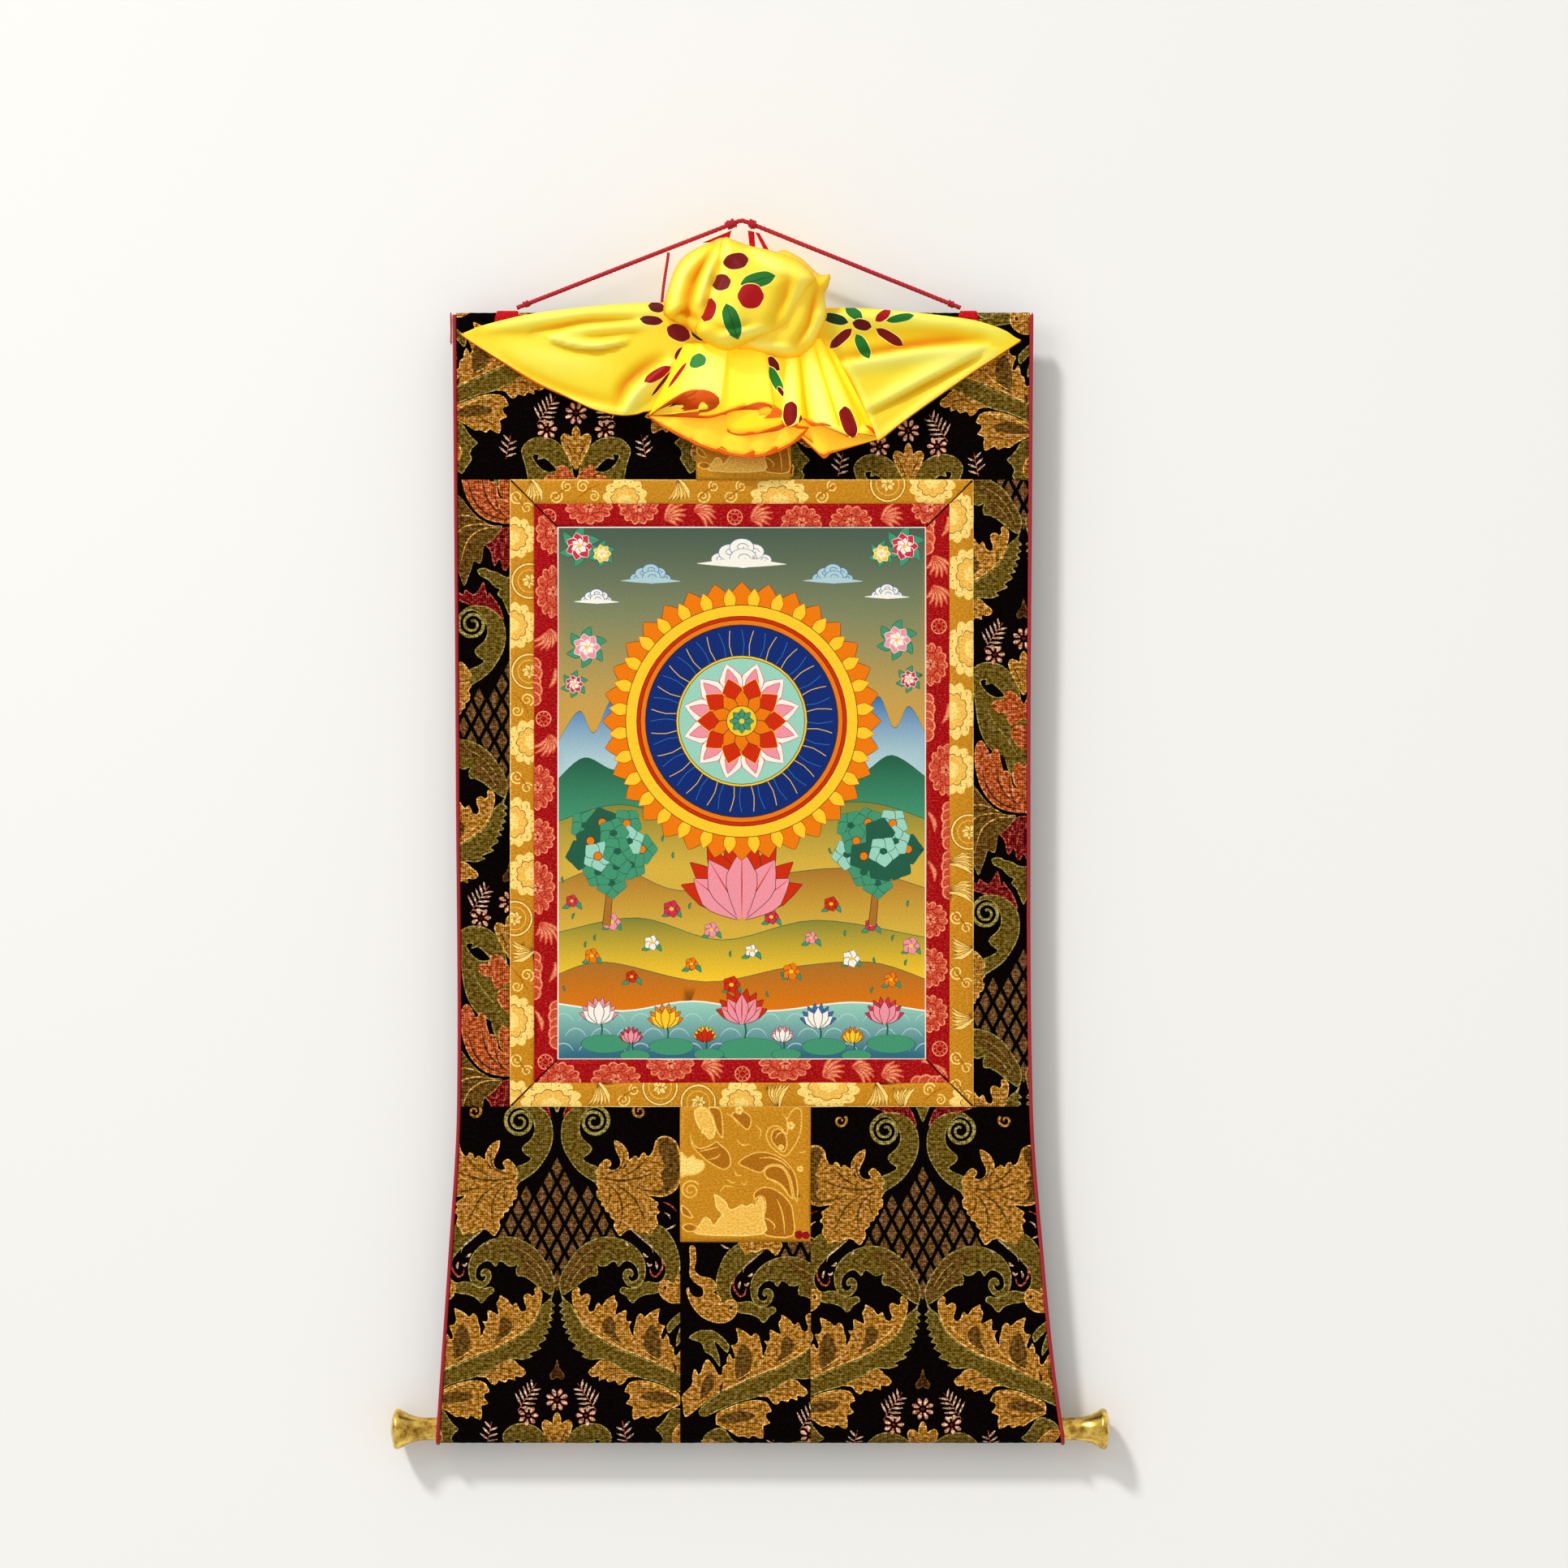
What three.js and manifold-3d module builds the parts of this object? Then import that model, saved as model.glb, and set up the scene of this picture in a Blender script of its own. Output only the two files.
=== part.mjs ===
// Thangka scroll with a gathered silk veil, as it hangs from its cord.
// A painted canvas is sewn into mitred red and gold borders and a brocade mount. A flat stave
// stiffens the head, a brass-capped roller weighs the foot, and the veil is bunched up in front.
// Millimetres, +Z up, seen along +Y. The origin is the top of the cord, where it passes over a nail.
import * as THREE from "three";
import { mergeVertices } from "three/addons/utils/BufferGeometryUtils.js";
import Module from "manifold-3d";

const wasm = await Module();
wasm.setup();
const { lerp, clamp, degToRad } = THREE.MathUtils;

// Driving dimensions
const PAINTING = { width: 300, height: 433, thickness: 1.2 };
const RED_BORDER = { width: 19, thickness: 1.6 };
const GOLD_BORDER = { width: 19, thickness: 2.2 };
const BROCADE = 1.5; // thickness of the mount's cloth
const PATCH = { width: 106, height: 110, middle: 3, thickness: 2 };
const HEAD_PATCH = { width: 77, height: 92, middle: 1.5, thickness: 1.1 };
const HEAD_DROP = 75; // from the nail down to the head of the mount
const HEAD_HEIGHT = 136; // brocade above the gold border
const FOOT_HEIGHT = 275; // brocade below the gold border
const STAVE = { height: 22, thickness: 5, left: -237.5, right: 237 };
const ROLLER = { radius: 9.5, spigotRadius: 6, spigotLength: 20 };
const BINDING = { width: 3.2, thickness: 2.4, forward: 1 }; // red edging down both sides
const TAB = { height: 14, thickness: 1.2 }; // red tape folded over the head, which the cord is tied to
const CORD_DIAMETER = 3.8;
const DROP_CORD_DIAMETER = 2.6;
const VEIL = 1.6; // thickness of the veil's silk
const GAP = 0.3; // between pieces that are sewn or laid together
const EASE = 0.4; // between a sleeve and what it is pulled over
const ROWS = { head: 5, side: 14, foot: 7, wrap: 15 }; // steps down each stretch of cloth, degrees round the roller

// The side edges of the mount by height: a slight waist, and a flared foot
const OUTLINE = [
  { height: -75, left: -232, right: 234 },
  { height: -211, left: -231, right: 233 },
  { height: -448, left: -229.5, right: 231.7 },
  { height: -722, left: -228.5, right: 233.6 },
  { height: -850, left: -236, right: 243 },
  { height: -930, left: -241.5, right: 251 },
  { height: -995, left: -246, right: 260 },
];

// Levels and depths that follow from them
const FRAME_WIDTH = PAINTING.width + 2 * (RED_BORDER.width + GOLD_BORDER.width);
const FRAME_HEIGHT = PAINTING.height + 2 * (RED_BORDER.width + GOLD_BORDER.width);
const HEAD = -HEAD_DROP;
const FRAME_TOP = HEAD - HEAD_HEIGHT;
const FRAME_BOTTOM = FRAME_TOP - FRAME_HEIGHT;
const FOOT = FRAME_BOTTOM - FOOT_HEIGHT;
const SLEEVE_OFFSET = EASE + BROCADE / 2; // from what a sleeve holds to the middle of its cloth
const CLOTH_Y = -(STAVE.thickness / 2 + SLEEVE_OFFSET); // middle of the hanging cloth
const CLOTH_FRONT = CLOTH_Y - BROCADE / 2;
const STAVE_TOP = HEAD - BROCADE - EASE;
const ROLLER_Y = CLOTH_Y + SLEEVE_OFFSET + ROLLER.radius;
const ROLLER_Z = FOOT + BROCADE + EASE + ROLLER.radius;
const TAIL_Y = CLOTH_Y + BROCADE + EASE; // a hem's tail lies behind the cloth that it is sewn to

const group = new THREE.Group();

function material(color, roughness, metalness = 0) {
  return new THREE.MeshStandardMaterial({ color, roughness, metalness });
}
const brocade = material(0x1b1a14, 0.75);
const goldSilk = material(0xc9992f, 0.45);
const redSilk = material(0x9c1a1c, 0.55);
const canvas = material(0xd9a548, 0.8);
const veilSilk = material(0xf3cf35, 0.4);
const redCord = material(0xa10f1f, 0.7);
const paleWood = material(0xe9ddd0, 0.7);
const dowelWood = material(0xb98d5c, 0.7);
const brass = material(0xd8ac36, 0.25, 1);

function piece(name, geometry, finish) {
  const mesh = new THREE.Mesh(geometry, finish);
  mesh.name = name;
  group.add(mesh);
}

// A column of a table at a height, with rounded turns between the rows
function columnAt(rows, column, height) {
  const last = rows.length - 1;
  const level = clamp(height, rows[last].height, rows[0].height);
  const k = Math.max(rows.findIndex((row) => row.height <= level) - 1, 0);
  const slope = (i) => {
    const before = rows[Math.max(i - 1, 0)];
    const after = rows[Math.min(i + 1, last)];
    return (after[column] - before[column]) / (after.height - before.height);
  };
  const [from, to] = [rows[k], rows[k + 1]];
  const span = to.height - from.height;
  const t = (level - from.height) / span;
  const ease = t * t * (3 - 2 * t);
  const bend = t * (1 - t) * span * ((1 - t) * slope(k) - t * slope(k + 1));
  const straight = ease * (to[column] - from[column]);
  return from[column] + straight + bend;
}
const leftEdge = (z) => columnAt(OUTLINE, "left", z);
const rightEdge = (z) => columnAt(OUTLINE, "right", z);

// How far the hanging cloth stands back (+) or forward (-) of its plane.
// The stave and the roller hold both ends flat. Between them the edges curl back and soft ripples run down.
const EDGE_CURL = 4;
const RIPPLE = { depth: 0.7, pitch: 190, lean: 0.35 };
function drape(x, z) {
  const down = clamp((HEAD - z - 45) / (HEAD - FOOT - 90), 0, 1);
  const freedom = Math.sin(Math.PI * down) ** 2;
  const outward = Math.abs(x) / (FRAME_WIDTH / 2);
  const curl = EDGE_CURL * Math.max(outward - 0.6, 0) ** 2;
  const ripple = RIPPLE.depth * Math.sin((2 * Math.PI * (x + RIPPLE.lean * z)) / RIPPLE.pitch);
  return freedom * (curl + ripple);
}

// A closed sheet. middle(u, v) runs across and down the cloth, and half the thickness goes to each side of it.
function sheet(columns, rows, middle, thickness) {
  const nudge = 1e-4;
  const normal = (u, v) => {
    const [u0, u1] = [Math.max(u - nudge, 0), Math.min(u + nudge, 1)];
    const [v0, v1] = [Math.max(v - nudge, 0), Math.min(v + nudge, 1)];
    const across = middle(u1, v).sub(middle(u0, v));
    const down = middle(u, v1).sub(middle(u, v0));
    return down.cross(across).normalize();
  };
  const positions = [];
  for (const side of [0.5, -0.5]) {
    for (let j = 0; j <= rows; j++) {
      for (let i = 0; i <= columns; i++) {
        const [u, v] = [i / columns, j / rows];
        positions.push(...middle(u, v).addScaledVector(normal(u, v), side * thickness));
      }
    }
  }
  const at = (i, j) => j * (columns + 1) + i;
  const back = (columns + 1) * (rows + 1); // index step from a front point to the one behind it
  const faces = [];
  for (let j = 0; j < rows; j++) {
    for (let i = 0; i < columns; i++) {
      const [a, b, c, d] = [at(i, j), at(i + 1, j), at(i, j + 1), at(i + 1, j + 1)];
      faces.push(a, c, b, b, c, d);
      faces.push(a + back, b + back, c + back, b + back, d + back, c + back);
    }
  }
  const rim = [];
  for (let j = 0; j < rows; j++) rim.push(at(0, j));
  for (let i = 0; i < columns; i++) rim.push(at(i, rows));
  for (let j = rows; j > 0; j--) rim.push(at(columns, j));
  for (let i = columns; i > 0; i--) rim.push(at(i, 0));
  rim.forEach((p, k) => {
    const q = rim[(k + 1) % rim.length];
    faces.push(p, p + back, q, q, p + back, q + back);
  });
  const geometry = new THREE.BufferGeometry();
  geometry.setAttribute("position", new THREE.Float32BufferAttribute(positions, 3));
  geometry.setIndex(faces);
  geometry.computeVertexNormals();
  return geometry;
}

// Points of a section through the cloth, as (y, z)
const at = (y, z) => new THREE.Vector2(y, z);
function straight(from, to, steps) {
  return new THREE.LineCurve(from, to).getPoints(steps);
}
function arc(y, z, radius, fromDegrees, toDegrees, steps) {
  const turned = (k) => degToRad(lerp(fromDegrees, toDegrees, k / steps));
  const point = (k) => at(y + radius * Math.cos(turned(k)), z + radius * Math.sin(turned(k)));
  return Array.from({ length: steps + 1 }, (_, k) => point(k));
}
function turnOver(from, fromHandle, toHandle, to, steps) {
  return new THREE.CubicBezierCurve(from, fromHandle, toHandle, to).getPoints(steps);
}
function joined(...stretches) {
  return stretches.flatMap((stretch, k) => (k ? stretch.slice(1) : stretch));
}

// A panel of cloth that follows a section, between a left and a right line
function panel(section, left, right, columns, thickness = BROCADE) {
  const rows = section.length - 1;
  const middle = (u, v) => {
    const k = Math.min(Math.floor(v * rows), rows - 1);
    const p = section[k].clone().lerp(section[k + 1], v * rows - k);
    const x = lerp(left(p.y), right(p.y), u);
    return new THREE.Vector3(x, p.x + drape(x, p.y), p.y);
  };
  return sheet(columns, rows, middle, thickness);
}

// Brocade mount: the head panel, whose hem is a flat sleeve over the stave
const halfGap = GAP / 2;
const staveHalf = STAVE.thickness / 2;
const staveBottom = STAVE_TOP - STAVE.height;
const HEAD_TAIL = { turn: 9, length: 9 };
const headTailTop = staveBottom - HEAD_TAIL.turn;
const headSection = joined(
  straight(at(TAIL_Y, headTailTop - HEAD_TAIL.length), at(TAIL_Y, headTailTop), 1),
  turnOver(
    at(TAIL_Y, headTailTop),
    at(TAIL_Y, headTailTop + HEAD_TAIL.turn / 2),
    at(staveHalf + SLEEVE_OFFSET, staveBottom - HEAD_TAIL.turn / 2),
    at(staveHalf + SLEEVE_OFFSET, staveBottom),
    5,
  ),
  straight(at(staveHalf + SLEEVE_OFFSET, staveBottom), at(staveHalf + SLEEVE_OFFSET, STAVE_TOP), 1),
  arc(staveHalf, STAVE_TOP, SLEEVE_OFFSET, 0, 90, 3),
  arc(-staveHalf, STAVE_TOP, SLEEVE_OFFSET, 90, 180, 3),
  straight(at(CLOTH_Y, STAVE_TOP), at(CLOTH_Y, FRAME_TOP + halfGap), ROWS.head),
);
piece("brocade_head", panel(headSection, leftEdge, rightEdge, 14), brocade);

// Brocade mount: a narrow panel down each side of the gold border
const frameLeft = -FRAME_WIDTH / 2;
const frameRight = FRAME_WIDTH / 2;
const sideTop = at(CLOTH_Y, FRAME_TOP - halfGap);
const sideBottom = at(CLOTH_Y, FRAME_BOTTOM + halfGap);
const sideSection = straight(sideTop, sideBottom, ROWS.side);
piece("brocade_side_left", panel(sideSection, leftEdge, () => frameLeft - halfGap, 2), brocade);
piece("brocade_side_right", panel(sideSection, () => frameRight + halfGap, rightEdge, 2), brocade);

// Brocade mount: three foot panels, whose hem is a round sleeve over the roller
const WRAP_END = 390; // degrees, where the hem leaves the roller behind it
const FOOT_TAIL = { rise: 26, length: 10 };
const sleeveRadius = ROLLER.radius + SLEEVE_OFFSET;
function roundRoller(radius, endDegrees) {
  return arc(ROLLER_Y, ROLLER_Z, radius, 180, endDegrees, (endDegrees - 180) / ROWS.wrap);
}
function footSection(top, frontSteps) {
  const wrap = roundRoller(sleeveRadius, WRAP_END);
  const leaving = wrap.at(-1);
  const heading = at(-Math.sin(degToRad(WRAP_END)), Math.cos(degToRad(WRAP_END)));
  const tail = at(TAIL_Y, ROLLER_Z + FOOT_TAIL.rise);
  return joined(
    straight(at(CLOTH_Y, top), at(CLOTH_Y, ROLLER_Z), frontSteps),
    wrap,
    turnOver(
      leaving,
      leaving.clone().addScaledVector(heading, FOOT_TAIL.rise / 3),
      tail.clone().add(at(0, -FOOT_TAIL.rise / 3)),
      tail,
      4,
    ),
    straight(tail, at(TAIL_Y, tail.y + FOOT_TAIL.length), 1),
  );
}
const patchLeft = PATCH.middle - PATCH.width / 2;
const patchRight = PATCH.middle + PATCH.width / 2;
const patchBottom = FRAME_BOTTOM - PATCH.height;
const wideFoot = footSection(FRAME_BOTTOM - halfGap, ROWS.foot);
const middleFoot = footSection(patchBottom - halfGap, 4);
piece("brocade_foot_left", panel(wideFoot, leftEdge, () => patchLeft - halfGap, 5), brocade);
piece("brocade_foot_right", panel(wideFoot, () => patchRight + halfGap, rightEdge, 5), brocade);
piece(
  "brocade_foot_middle",
  panel(middleFoot, () => patchLeft + halfGap, () => patchRight - halfGap, 3),
  brocade,
);

// Gold patches: a square let in below the border, and a narrower one laid on the head panel
const patchSection = straight(at(CLOTH_Y, FRAME_BOTTOM - halfGap), at(CLOTH_Y, patchBottom + halfGap), 4);
piece(
  "gold_patch_foot",
  panel(patchSection, () => patchLeft + halfGap, () => patchRight - halfGap, 3, PATCH.thickness),
  goldSilk,
);
const headPatchY = CLOTH_FRONT - GAP - HEAD_PATCH.thickness / 2;
const headPatchSection = straight(
  at(headPatchY, FRAME_TOP + HEAD_PATCH.height),
  at(headPatchY, FRAME_TOP + halfGap),
  4,
);
const headPatchLeft = HEAD_PATCH.middle - HEAD_PATCH.width / 2;
piece(
  "gold_patch_head",
  panel(headPatchSection, () => headPatchLeft, () => headPatchLeft + HEAD_PATCH.width, 3, HEAD_PATCH.thickness),
  goldSilk,
);

// Mitred borders: four strips round a window. Each strip runs along its outer edge, with slanting ends.
function borderStrips(prefix, outer, width, thickness, finish) {
  const inner = {
    left: outer.left + width,
    right: outer.right - width,
    top: outer.top - width,
    bottom: outer.bottom + width,
  };
  const shrink = halfGap;
  const mitre = shrink * Math.SQRT2;
  const strip = (name, columns, rows, point) => {
    const middle = (u, v) => {
      const [x, z] = point(u, v);
      return new THREE.Vector3(x, CLOTH_Y + drape(x, z), z);
    };
    piece(`${prefix}_${name}`, sheet(columns, rows, middle, thickness), finish);
  };
  const inset = (v) => shrink + v * (width - 2 * shrink);
  strip("top", 10, 1, (u, v) => [
    lerp(outer.left + inset(v) + mitre, outer.right - inset(v) - mitre, u),
    outer.top - inset(v),
  ]);
  strip("bottom", 10, 1, (u, v) => [
    lerp(outer.left + inset(1 - v) + mitre, outer.right - inset(1 - v) - mitre, u),
    outer.bottom + inset(1 - v),
  ]);
  strip("left", 1, 12, (u, v) => [
    outer.left + inset(u),
    lerp(outer.top - inset(u) - mitre, outer.bottom + inset(u) + mitre, v),
  ]);
  strip("right", 1, 12, (u, v) => [
    outer.right - inset(1 - u),
    lerp(outer.top - inset(1 - u) - mitre, outer.bottom + inset(1 - u) + mitre, v),
  ]);
  return inner;
}
const frame = { left: frameLeft, right: frameRight, top: FRAME_TOP, bottom: FRAME_BOTTOM };
const redFrame = borderStrips("gold_border", frame, GOLD_BORDER.width, GOLD_BORDER.thickness, goldSilk);
const window = borderStrips("red_border", redFrame, RED_BORDER.width, RED_BORDER.thickness, redSilk);

// The painted canvas in the window of the red border
const paintingSection = straight(at(CLOTH_Y, window.top - halfGap), at(CLOTH_Y, window.bottom + halfGap), 12);
piece(
  "painting",
  panel(paintingSection, () => window.left + halfGap, () => window.right - halfGap, 10, PAINTING.thickness),
  canvas,
);

// Red binding sewn along each side edge, down the front and round the mouth of the roller's sleeve
const BINDING_WRAP_END = 330;
const bindingY = CLOTH_Y - BINDING.forward;
const bindingSection = joined(
  straight(at(bindingY, STAVE_TOP), at(bindingY, FRAME_TOP), ROWS.head),
  straight(at(bindingY, FRAME_TOP), at(bindingY, FRAME_BOTTOM), ROWS.side),
  straight(at(bindingY, FRAME_BOTTOM), at(bindingY, ROLLER_Z), ROWS.foot),
  roundRoller(sleeveRadius + BINDING.forward, BINDING_WRAP_END),
);
for (const [side, edge, outward] of [["left", leftEdge, -1], ["right", rightEdge, 1]]) {
  const near = (z) => edge(z) + outward * GAP;
  const far = (z) => edge(z) + outward * (GAP + BINDING.width);
  const [left, right] = outward < 0 ? [far, near] : [near, far];
  piece(`binding_${side}`, panel(bindingSection, left, right, 1, BINDING.thickness), redCord);
}

// The stave in the head sleeve. Its pale ends stand out of the cloth.
const stave = new THREE.BoxGeometry(STAVE.right - STAVE.left, STAVE.thickness, STAVE.height);
stave.translate((STAVE.left + STAVE.right) / 2, 0, STAVE_TOP - STAVE.height / 2);
piece("stave", stave, paleWood);

// Turned pieces lie along X: a profile of (radius, distance along the axis)
function turned(profile, segments) {
  return new THREE.LatheGeometry(profile.map(([radius, along]) => at(radius, along)), segments);
}

// The roller in the foot sleeve, a dowel with a thinner spigot at each end for its brass cap
const CAP_ENTRY = 2; // how far a cap's neck reaches into the sleeve
const CAP = { neck: 9.2, rim: 16.5, length: 42, boreSlack: 0.3 };
const footLeft = leftEdge(FOOT) + CAP_ENTRY;
const footRight = rightEdge(FOOT) - CAP_ENTRY;
const shoulder = [footLeft + GAP, footRight - GAP];
const spigotEnd = [shoulder[0] - ROLLER.spigotLength, shoulder[1] + ROLLER.spigotLength];
const roller = turned(
  [
    [0, spigotEnd[0]],
    [ROLLER.spigotRadius, spigotEnd[0]],
    [ROLLER.spigotRadius, shoulder[0]],
    [ROLLER.radius, shoulder[0]],
    [ROLLER.radius, shoulder[1]],
    [ROLLER.spigotRadius, shoulder[1]],
    [ROLLER.spigotRadius, spigotEnd[1]],
    [0, spigotEnd[1]],
  ],
  20,
);
roller.rotateZ(-Math.PI / 2);
roller.translate(0, ROLLER_Y, ROLLER_Z);
piece("roller", roller, dowelWood);

// Brass caps: a trumpet-shaped ferrule pushed over each spigot, with a rolled rim and a low domed end
const boreRadius = ROLLER.spigotRadius + CAP.boreSlack;
const boreDepth = ROLLER.spigotLength + 1;
const capProfile = [
  [boreRadius, boreDepth],
  [boreRadius, 0],
  [CAP.neck, 0],
  [CAP.neck, 12],
  [CAP.neck + 0.5, 20],
  [CAP.neck + 2.2, 27],
  [CAP.rim - 2, 32.5],
  [CAP.rim, 35],
  [CAP.rim, 37.5],
  [CAP.rim - 1.5, 39],
  [CAP.rim - 3.5, 39.4],
  [CAP.rim - 9, 41.3],
  [0, CAP.length],
];
for (const [side, outward, foot] of [["left", -1, footLeft], ["right", 1, footRight]]) {
  const cap = turned([[0, boreDepth], ...capProfile], 20);
  cap.rotateZ((-outward * Math.PI) / 2);
  cap.translate(foot, ROLLER_Y, ROLLER_Z);
  piece(`roller_cap_${side}`, cap, brass);
}

// Tabs of red tape folded over the head of the mount, front and back
const tabOffset = SLEEVE_OFFSET + BROCADE / 2 + GAP + TAB.thickness / 2;
const tabFoot = STAVE_TOP - TAB.height;
const tabSection = joined(
  straight(at(staveHalf + tabOffset, tabFoot), at(staveHalf + tabOffset, STAVE_TOP), 1),
  arc(staveHalf, STAVE_TOP, tabOffset, 0, 90, 3),
  arc(-staveHalf, STAVE_TOP, tabOffset, 90, 180, 3),
  straight(at(-staveHalf - tabOffset, STAVE_TOP), at(-staveHalf - tabOffset, tabFoot), 1),
);
for (const [name, left, right] of [["cord_tab_left", -201, -181], ["cord_tab_right", 175, 192]]) {
  piece(name, panel(tabSection, () => left, () => right, 1, TAB.thickness), redCord);
}

// A round cord along a curve
function tube(curve, diameter, sides, steps) {
  const turn = (2 * Math.PI) / sides;
  const corner = (k) => at(Math.cos(k * turn), Math.sin(k * turn)).multiplyScalar(diameter / 2);
  const section = new THREE.Shape(Array.from({ length: sides }, (_, k) => corner(k)));
  return new THREE.ExtrudeGeometry(section, { steps, extrudePath: curve, bevelEnabled: false });
}

// The hanging cord, taut from tab to nail to tab, as points (x, z) in the plane of the stave
const CORD_ROUTE = [
  [-183, -70.9], [-165, -63.9], [-145, -56.1], [-125, -48.2], [-105, -40.4], [-85, -32.6], [-65, -24.8],
  [-45, -17], [-25, -9.2], [-12, -4.1], [-6, -1.75], [-3, -0.62], [0, 0], [3, -0.65], [6, -1.82],
  [12, -4.2], [25, -9.4], [45, -17.5], [65, -25.5], [85, -33.5], [105, -41.6], [125, -49.6], [145, -57.6],
  [163, -64.9], [178, -70.9],
];
const cordPath = new THREE.CatmullRomCurve3(CORD_ROUTE.map(([x, z]) => new THREE.Vector3(x, 0, z)));
piece("hanging_cord", tube(cordPath, CORD_DIAMETER, 8, 44), redCord);

// Knots: short lumps of turns pulled tight round the cord, at the tabs and beside the nail
const KNOT = { bore: CORD_DIAMETER / 2 + 0.4, radius: 3.7 };
const KNOTS = [
  { name: "cord_knot_left", x: -174, length: 6 },
  { name: "nail_knot_left", x: -10, length: 9 },
  { name: "nail_knot_right", x: 9.5, length: 6 },
  { name: "cord_knot_right", x: 169, length: 6 },
];
function cordHeight(x) {
  const k = CORD_ROUTE.findIndex((p) => p[0] > x);
  const [from, to] = [CORD_ROUTE[k - 1], CORD_ROUTE[k]];
  return { z: lerp(from[1], to[1], (x - from[0]) / (to[0] - from[0])), slope: (to[1] - from[1]) / (to[0] - from[0]) };
}
for (const { name, x, length } of KNOTS) {
  const half = length / 2;
  const swell = (KNOT.radius - KNOT.bore) / 2;
  const knot = turned(
    [
      [KNOT.bore, -half],
      [KNOT.bore + swell, -half],
      [KNOT.radius, -half / 2],
      [KNOT.radius - 0.4, 0],
      [KNOT.radius, half / 2],
      [KNOT.bore + swell, half],
      [KNOT.bore, half],
      [KNOT.bore, -half],
    ],
    10,
  );
  const { z, slope } = cordHeight(x);
  knot.rotateZ(-Math.PI / 2);
  knot.rotateY(-Math.atan(slope));
  knot.translate(x, 0, z);
  piece(name, knot, redCord);
}

// Ribbons that hang from the nail knots: two cut tails, and the folded tie that carries the veil
const RIBBON = { thickness: 1.2, y: -3.4 };
const RIBBONS = [
  { name: "ribbon_tail_a", head: [[5, -8.4], [10, -9.4]], foot: [[6.5, -22.4], [11, -22.4]] },
  { name: "ribbon_tail_b", head: [[11, -9.6], [14.4, -10.8]], foot: [[18.8, -25.6], [22.4, -25]] },
  { name: "veil_tie", head: [[-16, -11.6], [-8.4, -8.4]], foot: [[-32, -18.4], [-10.4, -16]] },
];
for (const { name, head, foot } of RIBBONS) {
  const middle = (u, v) => {
    const corner = (row, k) => lerp(row[0][k], row[1][k], u);
    return new THREE.Vector3(lerp(corner(head, 0), corner(foot, 0), v), RIBBON.y, lerp(corner(head, 1), corner(foot, 1), v));
  };
  piece(name, sheet(2, 3, middle, RIBBON.thickness), redCord);
}

// A thin cord that drops from the hanging cord to the head of the mount, behind the veil
const DROP_ROUTE = [
  [-59.6, -25.9], [-60.4, -32], [-61.5, -39], [-62.6, -46], [-63.6, -53], [-64.4, -60], [-65, -67], [-65.3, -74.4],
];
const dropPath = new THREE.CatmullRomCurve3(DROP_ROUTE.map(([x, z]) => new THREE.Vector3(x, 0, z)));
piece("drop_cord", tube(dropPath, DROP_CORD_DIAMETER, 8, 8), redCord);

// The veil's edge, from the left wing's top, round both wings and the skirt, as the eye follows it.
// lift is how far the edge stands out from the brocade: high on a fold, low between folds, nothing at a pinned tip.
const VEIL_EDGE = [
  { x: -52, z: -67, lift: 16 }, { x: -102, z: -67, lift: 12 }, { x: -141, z: -70.5, lift: 9 },
  { x: -181, z: -79, lift: 6.5 }, { x: -226.5, z: -93, lift: 1.8 }, { x: -198, z: -115, lift: 4 },
  { x: -168, z: -133, lift: 7 }, { x: -140, z: -144.5, lift: 9 }, { x: -115, z: -155, lift: 10 },
  { x: -94, z: -157.5, lift: 13 }, { x: -72, z: -147, lift: 5 }, { x: -74.5, z: -161.5, lift: 16 },
  { x: -55.5, z: -171, lift: 26 }, { x: -34, z: -180, lift: 17 }, { x: -16, z: -187, lift: 29 },
  { x: 2.5, z: -190, lift: 19 }, { x: 20.5, z: -190.5, lift: 31 }, { x: 38, z: -185.5, lift: 20 },
  { x: 53, z: -174, lift: 25 }, { x: 57.5, z: -164, lift: 7 }, { x: 65, z: -188, lift: 25 },
  { x: 78, z: -168, lift: 6 }, { x: 86.5, z: -175, lift: 21 }, { x: 97.5, z: -165.5, lift: 6 },
  { x: 109, z: -178, lift: 14 }, { x: 136, z: -161.5, lift: 8 }, { x: 162.5, z: -143, lift: 7 },
  { x: 189, z: -124.5, lift: 6 }, { x: 212, z: -107, lift: 3.5 }, { x: 225.5, z: -97.5, lift: 1.8 },
  { x: 202, z: -86, lift: 5.5 }, { x: 169, z: -78.5, lift: 7 }, { x: 123, z: -74, lift: 10 },
  { x: 73, z: -72, lift: 15 },
];
const GATHER = { x: 7, z: -91, radius: 8, lift: 28 }; // where the silk is drawn together behind the rosette
const veilEdge = new THREE.CatmullRomCurve3(
  VEIL_EDGE.map(({ x, z, lift }) => new THREE.Vector3(x, lift, z)),
  false,
  "centripetal",
);
const edgeSteps = 2 * (VEIL_EDGE.length - 1);
function veilFan() {
  const middle = (u, v) => {
    const edge = veilEdge.getPoint(u);
    const reach = new THREE.Vector2(edge.x - GATHER.x, edge.z - GATHER.z);
    const outward = lerp(GATHER.radius / reach.length(), 1, v);
    const settle = 1 - (1 - v) ** 2;
    const lift = lerp(GATHER.lift, edge.y, settle);
    return new THREE.Vector3(
      GATHER.x + reach.x * outward,
      CLOTH_FRONT - lift,
      GATHER.z + reach.y * outward,
    );
  };
  return sheet(edgeSteps, 6, middle, VEIL);
}

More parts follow.
